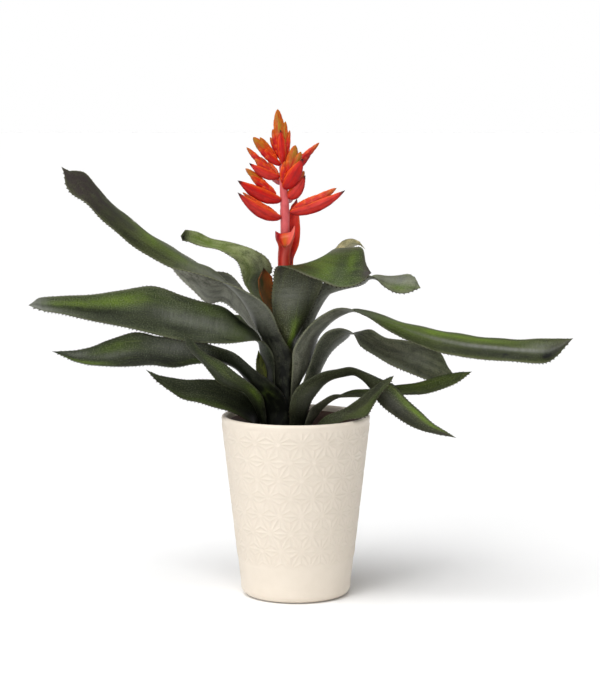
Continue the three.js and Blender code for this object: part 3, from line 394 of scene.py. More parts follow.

# Markings of each kind on a leaf: how far along it in mm, how far to the side (1 is the left margin), then
# its half length in mm, its half width as a share of the blade's, and how strong it is.
# On a leaf the yellow-green marks are partly painted light, the grey ones partly painted sheen, the
# near-black ones painted shade and the small white ones on the margins painted highlights. On a bract the
# pink marks are partly painted sheen, the dark red ones partly painted shade and the dark green ones painted
# shade.
MARKS = {
    "leaf_left_high": dict(
        flush_and_painted_light=[(213, -0.2, 20, 0.5, 0.55), (246, -0.35, 12, 0.5, 0.8), (262, -0.7, 22, 0.3, 0.45)],
        bloom_and_sheen=[(190, 0, 22, 1.2, 0.45), (135, 0, 32, 1.2, 0.6), (222, -0.9, 22, 0.25, 0.6),
               (300, -0.3, 40, 0.6, 0.18)],
        dry=[(330, 0, 55, 2, 1.0)],
        painted_shade=[(262, 0.75, 40, 0.5, 0.45), (97, 0.2, 14, 0.8, 0.35), (285, -0.1, 20, 0.5, 0.35)],
        painted_highlight=[(268, -1, 2, 0.12, 0.9), (286, -1, 4, 0.1, 0.8), (300, -0.95, 1.5, 0.1, 0.7)],
    ),
    "leaf_left_behind": dict(
        bloom_and_sheen=[(130, 0.1, 30, 0.8, 0.5), (165, -0.5, 14, 0.5, 0.5)],
        dry=[(185, 0.4, 25, 0.6, 0.3)],
        painted_shade=[(170, 0.85, 30, 0.25, 0.4)],
    ),
    "leaf_left_broad": dict(
        flush_and_painted_light=[(238, -0.45, 34, 0.35, 0.75), (288, -0.15, 26, 0.4, 0.45), (152, -0.7, 14, 0.3, 0.35),
               (118, 0, 12, 0.8, 0.3)],
        bloom_and_sheen=[(313, 0, 11, 2, 0.85), (182, 0, 34, 0.35, 0.45), (142, 0, 26, 0.5, 0.3),
               (300, 0.7, 30, 0.3, 0.35), (100, 0.4, 16, 0.5, 0.3)],
        painted_shade=[(150, 0.85, 30, 0.3, 0.45), (240, 0.55, 45, 0.4, 0.5), (135, -0.9, 30, 0.2, 0.4),
              (205, -0.2, 14, 0.5, 0.35), (270, 0.15, 50, 0.25, 0.5), (118, -0.75, 16, 0.3, 0.6),
              (175, 0.45, 22, 0.2, 0.4)],
    ),
    "leaf_left_low": dict(
        flush_and_painted_light=[(50, 0.3, 8, 0.5, 0.5), (232, -0.75, 22, 0.25, 0.6), (125, -0.6, 20, 0.3, 0.3),
               (205, 0.4, 26, 0.5, 0.35)],
        bloom_and_sheen=[(150, 0.4, 26, 0.5, 0.3), (240, 0.3, 14, 0.4, 0.4), (205, -0.1, 22, 0.25, 0.3)],
        painted_shade=[(85, 0.3, 30, 0.8, 0.5), (150, -0.5, 40, 0.4, 0.6)],
    ),
    "leaf_front_left": dict(
        flush_and_painted_light=[(52, 0.7, 14, 0.3, 0.55), (105, 0.5, 25, 0.4, 0.25)],
        painted_shade=[(85, -0.3, 25, 0.6, 0.45), (140, 0, 20, 1, 0.4)],
    ),
    "leaf_left_lowest": dict(flush_and_painted_light=[(70, 0.8, 40, 0.25, 0.25)], painted_shade=[(80, -0.3, 40, 0.5, 0.4)]),
    "leaf_upper_left": dict(
        flush_and_painted_light=[(105, 0.2, 22, 0.6, 0.6), (150, 0.4, 30, 0.5, 0.35), (208, 0, 24, 1.2, 0.7)],
        bloom_and_sheen=[(140, -0.3, 25, 0.5, 0.45)],
        painted_shade=[(234, 0.3, 5, 1.5, 0.95)],
    ),
    "leaf_front_folded": dict(
        flush_and_painted_light=[(88, 0.25, 20, 0.3, 0.9), (186, 0.2, 12, 0.8, 0.35), (204, -0.4, 8, 0.6, 0.6),
               (222, 0.3, 5, 0.5, 0.5)],
        painted_shade=[(92, 0.85, 24, 0.3, 0.6), (118, 0.5, 18, 0.3, 0.4), (148, 0.5, 8, 0.8, 0.4),
              (212, 0, 9, 0.7, 0.4), (180, -0.6, 14, 0.4, 0.4)],
        bloom_and_sheen=[(128, -0.2, 16, 0.9, 0.45), (185, 0.9, 26, 0.2, 0.5)],
        dry=[(158, -0.95, 8, 0.25, 0.8), (190, -1, 40, 0.07, 0.8), (218, 0.95, 25, 0.15, 0.6),
             (245, 0, 10, 1.5, 0.95)],
    ),
    "leaf_right_behind": dict(
        bloom_and_sheen=[(125, 0.1, 24, 0.8, 0.35), (205, 0.4, 22, 0.6, 0.6)],
        flush_and_painted_light=[(214, -0.4, 12, 0.4, 0.6)],
        painted_shade=[(140, -0.9, 20, 0.3, 0.4)],
    ),
    "leaf_back_right": dict(flush_and_painted_light=[(200, 0, 14, 1, 0.4)], bloom_and_sheen=[(195, 0.5, 16, 0.8, 0.6)]),
    "leaf_right_long": dict(
        flush_and_painted_light=[(185, 0, 30, 0.8, 0.6), (226, 0.35, 12, 0.3, 0.9), (262, 0.5, 30, 0.4, 0.35),
               (262, 0.45, 50, 0.25, 0.5)],
        bloom_and_sheen=[(285, -0.2, 70, 0.14, 0.95), (190, 0.95, 50, 0.12, 0.6), (325, 0.1, 14, 0.5, 0.35),
               (100, 0, 40, 1.2, 0.35)],
        painted_shade=[(285, -0.62, 62, 0.3, 0.8), (200, -0.9, 34, 0.25, 0.5), (335, -0.45, 9, 0.6, 0.6),
              (140, -0.2, 12, 0.8, 0.35)],
        dry=[(350, 0, 14, 1.5, 0.6), (90, 0.2, 30, 0.6, 0.2)],
    ),
    "leaf_right_middle": dict(
        bloom_and_sheen=[(188, 0, 20, 0.5, 0.35), (100, 0.5, 20, 0.5, 0.45), (165, -0.85, 40, 0.12, 0.5)],
        dry=[(160, 0.3, 35, 0.8, 0.35)],
        painted_shade=[(95, -0.6, 30, 0.35, 0.4), (205, 0.8, 18, 0.4, 0.4)],
    ),
    "leaf_right_arched": dict(
        bloom_and_sheen=[(45, 0.1, 20, 0.7, 0.4), (150, 0.1, 16, 0.5, 0.3)],
        flush_and_painted_light=[(178, -0.7, 34, 0.22, 0.9)],
        painted_shade=[(160, 0.5, 40, 0.6, 0.6), (100, -0.3, 30, 0.9, 0.6), (150, -0.98, 60, 0.1, 0.6)],
        dry=[(208, 0, 8, 1, 0.7), (150, 0.3, 24, 0.5, 0.35)],
    ),
    "leaf_right_thin": dict(flush_and_painted_light=[(140, 0.5, 30, 0.5, 0.2)], dry=[(30, 0, 22, 1.5, 0.5)]),
    "scape_bract_inner": dict(painted_shade=[(40, 0, 34, 3, 0.85), (68, 0.6, 10, 0.5, 0.6)]),
    "scape_bract_right": dict(bloom_and_sheen=[(62, -0.6, 12, 0.4, 0.5)], deep=[(30, 0.3, 16, 0.5, 0.5)]),
    "scape_bract_curled": dict(
        bloom_and_sheen=[(52, 0.85, 14, 0.5, 1.0), (22, 0.2, 24, 0.3, 0.6)],
        flush_and_painted_light=[(60, 0, 9, 0.4, 1.0)],
        deep=[(56, -0.95, 12, 0.4, 1.0), (26, -0.5, 26, 0.3, 0.7)],
        painted_shade=[(67, 0, 2.5, 2, 0.6)],
    ),
    "leaf_front_right": dict(
        flush_and_painted_light=[(80, -0.2, 20, 0.5, 0.35)],
        dry=[(75, 0.2, 30, 0.8, 0.35)],
        painted_shade=[(100, 0.7, 24, 0.3, 0.4)],
    ),
}
MARK_KINDS = ("flush_and_painted_light", "bloom_and_sheen", "dry", "painted_highlight", "deep", "painted_shade", "rim")


# Looks

def colour(hex_code):
    """An sRGB hex colour as the linear RGBA that Blender works in."""
    channels = [int(hex_code[i:i + 2], 16) / 255 for i in (1, 3, 5)]
    return tuple(c / 12.92 if c <= 0.04045 else ((c + 0.055) / 1.055) ** 2.4 for c in channels) + (1.0,)


def add_node(tree, kind, inputs=None, **settings):
    """Adds a node with its settings, and sets or links each input named by its socket."""
    made = tree.nodes.new(kind)
    for name, value in settings.items():
        setattr(made, name, value)
    for socket, value in (inputs or {}).items():
        if isinstance(value, bpy.types.NodeSocket):
            tree.links.new(value, made.inputs[socket])
        else:
            made.inputs[socket].default_value = value
    return made


def start_finish(name, roughness, ior=1.45, gloss=0.5):
    material = bpy.data.materials.new(name)
    material.use_nodes = True
    tree = material.node_tree
    shader = tree.nodes["Principled BSDF"]
    shader.inputs["Roughness"].default_value = roughness
    shader.inputs["IOR"].default_value = ior
    shader.inputs["Specular IOR Level"].default_value = gloss
    return material, tree, shader


def grown_skin(name, faces, grains, coats, relief, roughness, gloss):
    """A leaf's or bract's finish. A grain is noise whose blotches are so many millimetres across and along
    the blade. Each coat is a colour laid over the ones before it: where the mesh's layer says so, and as far
    as its grain, between two levels, gives one share and then the other. The relief is the bump of two
    grains."""
    material, tree, shader = start_finish(name, roughness, 1.38, gloss)
    place = add_node(tree, "ShaderNodeAttribute", attribute_name="blade_place").outputs["Vector"]
    noises = {}
    for grain, (across_mm, along_mm, detail) in grains.items():
        stretch = (1 / across_mm, 1 / along_mm, 1)
        spread = add_node(tree, "ShaderNodeVectorMath", {0: place, 1: stretch}, operation="MULTIPLY")
        spots = {"Vector": spread.outputs[0], "Scale": 1.0, "Detail": detail}
        noises[grain] = add_node(tree, "ShaderNodeTexNoise", spots).outputs["Fac"]
    side = add_node(tree, "ShaderNodeAttribute", attribute_name="blade_upper").outputs["Fac"]
    under, upper = (colour(face) for face in faces)
    tone = add_node(tree, "ShaderNodeMix", {0: side, 6: under, 7: upper}, data_type="RGBA").outputs[2]
    for layer, grain, low, high, first, last, hex_code in coats:
        levels = {"Value": noises[grain], "From Min": low, "From Max": high, "To Min": first, "To Max": last}
        share = add_node(tree, "ShaderNodeMapRange", levels).outputs[0]
        if layer:
            where = add_node(tree, "ShaderNodeAttribute", attribute_name=layer).outputs["Fac"]
            both = {0: share, 1: where}
            share = add_node(tree, "ShaderNodeMath", both, operation="MULTIPLY", use_clamp=True).outputs[0]
        coat = {0: share, 6: tone, 7: colour(hex_code)}
        tone = add_node(tree, "ShaderNodeMix", coat, data_type="RGBA").outputs[2]
    tree.links.new(tone, shader.inputs["Base Color"])
    first_grain, second_grain, height_mm = relief
    rise = {0: noises[first_grain], 1: 0.6, 2: noises[second_grain]}
    height = add_node(tree, "ShaderNodeMath", rise, operation="MULTIPLY_ADD").outputs[0]
    bump = add_node(tree, "ShaderNodeBump", {"Height": height, "Strength": 0.6, "Distance": height_mm * MM})
    tree.links.new(bump.outputs[0], shader.inputs["Normal"])
    return material


# Living strap leaf under a thin wax: satin, dark and uneven, with yellow-green stretches that are partly
# young growth and partly painted light where a blade catches the light or lets it through, a grey dust of
# scales in faint cross bands with painted sheen on it, a paler margin, painted shade on the sheaths and
# under other leaves, painted highlights on the margins, and dry brown tips. Its veins are 1 mm apart, which
# is too fine to show, so they are drawn as streaks 1.5 mm wide; the scales lie in bands about 3 mm apart.
LEAF_GRAINS = {
    "streak": (1.5, 34, 4), "smear": (5.5, 42, 4), "blotch": (5, 9, 5), "fleck": (0.9, 1.2, 2),
    "band": (13, 3.1, 4),
}
LEAF_COATS = (
    ("", "smear", 0.42, 0.66, 0.0, 0.55, "#181b10"),
    ("", "blotch", 0.46, 0.68, 0.0, 0.6, "#1f241a"),
    ("", "streak", 0.5, 0.72, 0.0, 0.22, "#59652f"),
    # Yellow-green: young stretches, and painted light where a blade catches the light or lets it through.
    ("blade_flush_and_painted_light", "blotch", 0.3, 0.62, 0.6, 1.25, "#5f7624"),
    ("blade_flush_and_painted_light", "streak", 0.54, 0.7, 0.0, 0.35, "#8b963c"),
    ("", "fleck", 0.52, 0.68, 0.0, 0.6, "#15180f"),
    ("", "fleck", 0.34, 0.46, 0.35, 0.0, "#80856c"),
    # Grey: the dust of scales, with painted sheen where the wax catches the light.
    ("blade_bloom_and_sheen", "band", 0.3, 0.68, 0.6, 1.15, "#7a7c74"),
    ("blade_dry", "blotch", 0.3, 0.6, 0.6, 1.15, "#3c3633"),
    ("blade_dry", "fleck", 0.52, 0.66, 0.0, 0.6, "#1f1a18"),
    ("blade_rim", "blotch", 0.3, 0.6, 0.3, 1.1, "#8c8f70"),
    # Near black: painted shade at the leaves' feet in the plant's heart and where a blade lies under others.
    ("blade_painted_shade", "blotch", 0.35, 0.65, 1.25, 0.75, "#070905"),
    # Near white: painted highlights, glints of light on the margins.
    ("blade_painted_highlight", "fleck", 0.3, 0.5, 0.6, 1.1, "#d6dac8"),
    ("blade_tooth", "blotch", 0.3, 0.6, 0.9, 1.0, "#2a1f16"),
)


def leaf_blade(name, upper, under):
    return grown_skin(name, (under, upper), LEAF_GRAINS, LEAF_COATS, ("fleck", "streak", 0.3), 0.44, 0.22)


# Living bract with a thin wax, glossy: saturated red, streaked along its length, crimson with painted shade
# in its hollows, at its root and on its lower side, orange along its margins with a painted highlight on the
# upper one, and gold or dark and dry where it ripens towards the tip.
BRACT_GRAINS = {"streak": (0.9, 11, 3), "cloud": (4, 9, 2)}
BRACT_COATS = (
    ("", "cloud", 0.46, 0.68, 0.0, 0.6, "#9c0f0c"),
    # Crimson: a crimson underside, with painted shade in the hollows, at the root and on the lower side.
    ("bract_crimson_and_shade", "cloud", 0.3, 0.6, 0.7, 1.1, "#86101a"),
    ("", "streak", 0.54, 0.74, 0.0, 0.3, "#e0451c"),
    # Orange: the margins and scale tips, with a painted highlight along a pod's upper margin.
    ("bract_blush_and_highlight", "streak", 0.36, 0.6, 0.2, 1.1, "#ec6c22"),
    ("bract_ripe", "streak", 0.4, 0.58, 0.25, 1.15, "#9a741c"),
    ("bract_dry", "streak", 0.3, 0.6, 0.8, 1.2, "#2a1414"),
)
# The loose bracts on the stalk also show their inner face, with gold stretches, pink ones that are partly
# painted sheen, dark red ones that are partly painted shade where they roll, and dark green painted shade.
STALK_BRACT_COATS = BRACT_COATS + (
    ("blade_flush_and_painted_light", "streak", 0.3, 0.6, 0.6, 1.1, "#bd6410"),
    ("blade_bloom_and_sheen", "cloud", 0.3, 0.6, 0.8, 1.1, "#d96a5e"),
    ("blade_deep", "cloud", 0.3, 0.6, 0.8, 1.1, "#86101a"),
    ("blade_painted_shade", "cloud", 0.3, 0.6, 0.8, 1.1, "#3a4024"),
)


def flower_bract(name, outside, inside, coats):
    return grown_skin(name, (outside, inside), BRACT_GRAINS, coats, ("cloud", "streak", 0.4), 0.3, 0.32)


def mottled(name, base, patch, roughness, size_mm, bump_mm, patch_share=0.5, ior=1.45):
    """A finish with soft patches of a second colour, and a fine unevenness of the surface of that size."""
    material, tree, shader = start_finish(name, roughness, ior)
    where = add_node(tree, "ShaderNodeTexCoord").outputs["Object"]
    # Object coordinates are metres, so a scale of 1000 / size gives patches of about that many millimetres.
    patches = add_node(tree, "ShaderNodeTexNoise", {"Vector": where, "Scale": 1000 / size_mm, "Detail": 4.0})
    levels = {"Value": patches.outputs["Fac"], "From Min": 0.35, "From Max": 0.7, "To Max": patch_share}
    share = add_node(tree, "ShaderNodeMapRange", levels)
    tones = {0: share.outputs[0], 6: colour(base), 7: colour(patch)}
    mix = add_node(tree, "ShaderNodeMix", tones, data_type="RGBA")
    tree.links.new(mix.outputs[2], shader.inputs["Base Color"])
    rise = {"Height": patches.outputs["Fac"], "Strength": 0.4, "Distance": bump_mm * MM}
    tree.links.new(add_node(tree, "ShaderNodeBump", rise).outputs[0], shader.inputs["Normal"])
    return material


# Stoneware under a matt cream glaze: nearly even, with the faintest clouding and a soft sheen.
cream_glaze = mottled("cream_glaze", "#e2d7c8", "#dcd1c1", 0.5, 9, 0.05, ior=1.5)
# Moulded polypropylene grower's pot: plain red-brown with a dull shine.
grower_plastic = mottled("grower_plastic", "#4a3128", "#5a3d31", 0.5, 14, 0.1)
# Moist peat: dull and dark brown, crumbly, with lighter crumbs about 3 mm wide.
moist_peat = mottled("moist_peat", "#2a1d15", "#5a4130", 0.95, 3, 1.5, patch_share=0.8)
# Living rootstock under dry old leaf feet: dull brownish green with paler patches.
rootstock = mottled("rootstock", "#4c472e", "#6f6a4a", 0.8, 5, 0.6)
# Flower stalk: smooth pink skin with darker patches.
stalk_skin = mottled("stalk_skin", "#d65f62", "#bd4a4c", 0.4, 6, 0.1, patch_share=0.7)


# Meshes

def make_piece(name, points, faces, material, layers=None, *, replaces):
    """A mesh of points in millimetres, which rides with the part and stands for CAD nodes."""
    mesh = bpy.data.meshes.new(name)
    mesh.from_pydata([tuple(p) for p in np.asarray(points) * MM], [], faces)
    for layer, values in (layers or {}).items():
        values = np.asarray(values, dtype=np.float32)
        kind, member = ("FLOAT_VECTOR", "vector") if values.ndim == 2 else ("FLOAT", "value")
        mesh.attributes.new(layer, kind, "POINT").data.foreach_set(member, values.ravel())
    mesh.materials.append(material)
    mesh.polygons.foreach_set("use_smooth", [True] * len(mesh.polygons))
    mesh.update()
    piece = bpy.data.objects.new(name, mesh)
    scene.collection.objects.link(piece)
    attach(piece, "root")
    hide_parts(*replaces)
    return piece


def joined(parts):
    """Several sets of points, faces and layers as one."""
    points, faces, layers = [], [], {}
    count = 0
    for part_points, part_faces, part_layers in parts:
        points.append(part_points)
        faces += [tuple(v + count for v in face) for face in part_faces]
        for name, values in part_layers.items():
            layers.setdefault(name, []).append(values)
        count += len(part_points)
    return np.vstack(points), faces, {name: np.concatenate(values) for name, values in layers.items()}


def round_angles(sides):
    return np.arange(sides) * (2 * math.pi / sides)


def level_ring(sides, radii, height, x=0.0):
    """Points round a level ring, which has one radius, or one for each point."""
    angles = round_angles(sides)
    return np.column_stack([x + radii * np.cos(angles), radii * np.sin(angles), np.full(sides, height)])


def ring_faces(rings, sides):
    """Quads between rings of points, closed by a fan to each of the two points that follow the rings."""
    start, end = rings * sides, rings * sides + 1
    faces = []
    for low in range(0, start - sides, sides):
        for side in range(sides):
            following = (side + 1) % sides
            faces.append((low + side, low + following, low + sides + following, low + sides + side))
    last = start - sides
    for side in range(sides):
        following = (side + 1) % sides
        faces.append((start, following, side))
        faces.append((end, last + side, last + following))
    return faces


def turned(profile, sides, x=0.0, bulge=None):
    """A profile of (radius, height) pairs turned about an upright axis. A bulge is what it adds to a ring's
    radius at each angle."""
    rings = []
    for radius, height in profile[1:-1]:
        extra = bulge(round_angles(sides), radius, height) if bulge else 0
        rings.append(level_ring(sides, radius + extra, height, x))
    ends = [[x, 0, profile[0][1]], [x, 0, profile[-1][1]]]
    return np.vstack(rings + [ends]), ring_faces(len(rings), sides)


def arc(centre_r, centre_z, radius, start, stop, steps):
    angles = np.radians(np.linspace(start, stop, steps + 1))
    return [(centre_r + radius * math.cos(a), centre_z + radius * math.sin(a)) for a in angles]


# Pots

def outer_radius(height):
    return POT_TOP_RADIUS - (POT_HEIGHT - height) * WALL_SLOPE


def line_distance(px, py, bx, by):
    """How far points are from a straight line between the star's eye and another place."""
    t = np.clip((px * bx + py * by) / (bx * bx + by * by), 0, 1)
    return np.hypot(px - t * bx, py - t * by)


def star_relief(angles, height):
    """The raised lattice: rows of stars, each joined to its six neighbours and to the middles of the six
    triangles round it, as on a hemp-leaf pattern. It is drawn in a pattern plane of even pitch."""
    pitch = 2 * math.pi * outer_radius((STARS_LOW + STARS_HIGH) / 2) / STARS_ROUND
    half = 0.5 * pitch
    # Along the row, up and down to the next rows, and to the triangles' middles.
    spokes = ((pitch, 0), (half, STAR_ROW), (half, -STAR_ROW), (half, STAR_ROW / 3), (half, -STAR_ROW / 3),
              (0, STAR_ROW * 2 / 3), (0, -STAR_ROW * 2 / 3))
    along = angles / (2 * math.pi) * STARS_ROUND
    up = (height - STARS_LOW) / STAR_ROW
    row = math.floor(up)
    nearest = np.full_like(angles, 1e9)
    eye = np.full_like(angles, 1e9)
    for r in (row - 1, row, row + 1, row + 2):
        shift = 0.5 * (r % 2)
        for step in (0, 1):
            star = np.floor(along - shift) + shift + step
            px = (along - star) * pitch
            py = (up - r) * STAR_ROW
            eye = np.minimum(eye, np.hypot(px, py))
            for bx, by in spokes:
                nearest = np.minimum(nearest, line_distance(np.abs(px), py, bx, by))
    ridge = np.clip(1 - (nearest / RIDGE_HALF) ** 2, 0, 1) ** 1.2
    ridge = np.where(eye < EYE_RADIUS, np.maximum(ridge * (eye / EYE_RADIUS) ** 2, EYE_SHARE), ridge)
    # They rise over the lowest 5 mm and die out over the last 2 mm under the rim.
    fade = min(1, max(0, (height - STARS_LOW) / 5)) * min(1, max(0, (STARS_HIGH - height) / 2))
    return RIDGE_HEIGHT * fade * ridge - GROUND_DEPTH


def wall_lattice(angles, radius, height):
    """The relief where the outer wall carries it, and nothing on the foot, the rim and the inside."""
    outside = STARS_LOW - 1 < height < STARS_HIGH + 1 and radius > outer_radius(height) - 1
    return star_relief(angles, height) if outside else 0


def cover_pot():
    rim = POT_WALL / 2
    rim_height = POT_HEIGHT - rim
    profile = [(0, 0), (POT_BASE_RADIUS - 6, 0.0), (POT_BASE_RADIUS, 0.0)]
    profile += arc(POT_FOOT_RADIUS - POT_FOOT_ROUNDING, POT_FOOT_ROUNDING, POT_FOOT_ROUNDING, -72, -12, 6)
    profile += [(outer_radius(POT_FOOT_HEIGHT), POT_FOOT_HEIGHT), (outer_radius(20), 20)]
    # Rings 0.8 mm apart follow the ridges.
    profile += [(outer_radius(z), z) for z in np.linspace(STARS_LOW - 6, STARS_HIGH + 2, 178)]
    profile += arc(outer_radius(rim_height) - rim, rim_height, rim, 0, 180, 8)
    profile += [(outer_radius(z) - POT_WALL, z) for z in (160, 120, 80, 40, 15)]
    profile += [(outer_radius(POT_FLOOR) - POT_WALL - 5, POT_FLOOR), (0, POT_FLOOR)]
    points, faces = turned(profile, POT_SIDES, bulge=wall_lattice)
    make_piece("cream_cover_pot", points, faces, cream_glaze, replaces=["cover_pot"])


def grower_radius(height):
    return GROWER_BASE_RADIUS + (height - GROWER_FLOOR) * GROWER_SLOPE


def grower_pot():
    """A thin tapered pot whose rim is a wider band."""
    base, floor, wall = GROWER_BASE_RADIUS, GROWER_FLOOR, GROWER_WALL
    rim, top = GROWER_RIM_RADIUS, GROWER_RIM
    profile = [(0, floor), (base - 1, floor), (base, floor + 1.5)]
    profile += [(grower_radius(top - 9), top - 9), (grower_radius(top - 9) + 0.1, top - 8.6)]
    profile += [(rim - 0.3, top - 8.2), (rim, top - 7.8), (rim, top - 0.4), (rim - 0.4, top)]
    profile += [(rim - wall, top - 0.2), (grower_radius(top - 6) - wall, top - 6)]
    profile += [(base - wall, floor + wall), (0, floor + wall)]
    points, faces = turned(profile, 120)
    replaced = ["nursery_pot"]
    pot = make_piece("grower_pot", points, faces, grower_plastic, replaces=replaced)
    # Its level faces are flat, and its walls are smooth.
    for polygon in pot.data.polygons:
        polygon.use_smooth = abs(polygon.normal.z) < 0.9


def crumb(top_radius):
    """An uneven lump of 0.8 to 2.4 mm: six points pushed out from its middle, joined by eight faces."""
    reach, turn = top_radius * math.sqrt(random.random()) * 0.97, random.uniform(0, 2 * math.pi)
    size = random.uniform(0.8, 2.4)
    middle = np.array([reach * math.cos(turn), reach * math.sin(turn), SOIL_LEVEL - 1.2 + 0.35 * size])
    pushes = np.array(((1, 0, 0), (0, 1, 0), (-1, 0, 0), (0, -1, 0), (0, 0, 1), (0, 0, -1)))
    spread = np.array([random.uniform(0.6, 1.3) for _ in range(18)]).reshape(6, 3) * size
    points = middle + pushes * spread * (1.0, 1.0, 0.6) + 0.25 * (spread - size)
    around = [(k, (k + 1) % 4) for k in range(4)]
    return points, [face for k, after in around for face in ((k, after, 4), (after, k, 5))], {}


def lump(x, y):
    """How uneven the peat is at a place: swells about 11 mm apart, with smaller ones about 3 mm apart."""
    broad = 1.6 * noise.noise(Vector((x * 0.09, y * 0.09, 3)))
    return broad + 0.9 * noise.noise(Vector((x * 0.35, y * 0.35, 7)))


def peat():
    """The soil's top is lumpy, and crumbs of bark lie on it."""
    top_radius = grower_radius(SOIL_LEVEL) - GROWER_WALL - 0.5
    low_radius = grower_radius(SOIL_FLOOR) - GROWER_WALL - 0.5
    sides, rings = 150, 46
    rows = [level_ring(sides, low_radius, SOIL_FLOOR)]
    for ring in range(rings):
        row = level_ring(sides, top_radius * (1 - ring / rings), SOIL_LEVEL - SOIL_DIP)
        row[:, 2] += [lump(x, y) for x, y, _ in row]
        rows.append(row)
    rows.append([[0, 0, SOIL_FLOOR], [0, 0, SOIL_LEVEL - 1]])
    body = (np.vstack(rows), ring_faces(rings + 1, sides), {})
    points, faces, _ = joined([body] + [crumb(top_radius) for _ in range(CRUMBS)])
    make_piece("peat", points, faces, moist_peat, replaces=["soil"])


def plant_stock():
    profile = [(0, STOCK_FOOT), (STOCK_RADIUS, STOCK_FOOT), (STOCK_RADIUS, STOCK_SHOULDER)]
    profile += [(STOCK_TOP_RADIUS, STOCK_TOP), (0, STOCK_TOP)]
    points, faces = turned(profile, 64, PLANT_X)
    make_piece("rootstock_cone", points, faces, rootstock, replaces=["stock"])


# Leaves

def rail_point(points, t):
    """A place on the smooth curve through the points, with closer bends where they are closer together."""
    last = len(points) - 1
    index = min(int(t * last), last - 1)
    w = t * last - index
    p1, p2 = points[index], points[index + 1]
    p0 = points[index - 1] if index else 2 * p1 - p2
    p3 = points[index + 2] if index + 2 <= last else 2 * p2 - p1
    d0, d1, d2 = (max(np.linalg.norm(b - a), 1e-6) ** 0.5 for a, b in ((p0, p1), (p1, p2), (p2, p3)))
    m1 = ((p1 - p0) / d0 - (p2 - p0) / (d0 + d1) + (p2 - p1) / d1) * d1
    m2 = ((p2 - p1) / d1 - (p3 - p1) / (d1 + d2) + (p3 - p2) / d2) * d1
    return p1 + m1 * w + (-3 * p1 + 3 * p2 - 2 * m1 - m2) * w ** 2 + (2 * p1 - 2 * p2 + m1 + m2) * w ** 3


def sheath_row(azimuth, radius, half_width, height):
    """Both margins of a sheath at one height, and how far it bows out between them."""
    angle = math.radians(azimuth)
    chord = math.sqrt(radius ** 2 - half_width ** 2)
    middle = np.array([PLANT_X + chord * math.cos(angle), chord * math.sin(angle), height])
    side = np.array([-math.sin(angle), math.cos(angle), 0]) * half_width
    return middle + side, middle - side, radius - chord


def blade_stations(leaf, step):
    """Both margins and the trough's depth, every step millimetres from the foot to near the tip, and
    whether each station lies above the sheath."""
    azimuth, radius, half_width, top = leaf["sheath"]
    slope = (STOCK_TOP - STOCK_SHOULDER) / (STOCK_RADIUS - STOCK_TOP_RADIUS)
    foot = leaf.get("foot") or STOCK_TOP - (radius - 1 - STOCK_TOP_RADIUS) * slope + CLEARANCE
    rows = [sheath_row(azimuth, radius, half_width, z) for z in (foot, (foot + top) / 2, top)]
    rows += [(np.array(row[0:3], float), np.array(row[3:6], float), row[6]) for row in leaf["rows"]]
    lefts, rights, depths = zip(*rows)
    stations = []
    for i in range(len(rows) - 1):
        span = (np.linalg.norm(lefts[i + 1] - lefts[i]) + np.linalg.norm(rights[i + 1] - rights[i])) / 2
        steps = max(2, round(span / step))
        for k in range(steps):
            t = (i + k / steps) / (len(rows) - 1)
            depth = depths[i] + (depths[i + 1] - depths[i]) * k / steps
            stations.append((rail_point(lefts, t), rail_point(rights, t), depth, i > 1))
    stations.append((lefts[-1], rights[-1], depths[-1], True))
    return [np.array(values) for values in zip(*stations)]


def blade_spine(leaf, step, point_steps):
    """A blade's middle line from its foot to near its point, and at each place of it the way to the left
    margin, the half width, the trough's depth and whether it lies above the sheath."""
    left, right, gutter, free = blade_stations(leaf, step)
    middle = (left + right) / 2
    across = left - right
    half = np.linalg.norm(across, axis=1) / 2
    across /= 2 * half[:, None]
    # The last stretch narrows to the drawn-out point.
    t = np.arange(1, point_steps) / point_steps
    middle = np.vstack([middle, middle[-1] * (1 - t[:, None]) + np.array(leaf["tip"], float) * t[:, None]])
    half = np.concatenate([half, half[-1] * (1 - t) ** leaf.get("taper", 1.15)])
    gutter = np.concatenate([gutter, gutter[-1] * (1 - t)])
    across = np.vstack([across, np.repeat(across[-1:], point_steps - 1, axis=0)])
    free = np.concatenate([free, np.ones(point_steps - 1, bool)])
    return middle, across, half, gutter, free


def unit(vectors):
    return vectors / np.linalg.norm(vectors, axis=-1, keepdims=True)


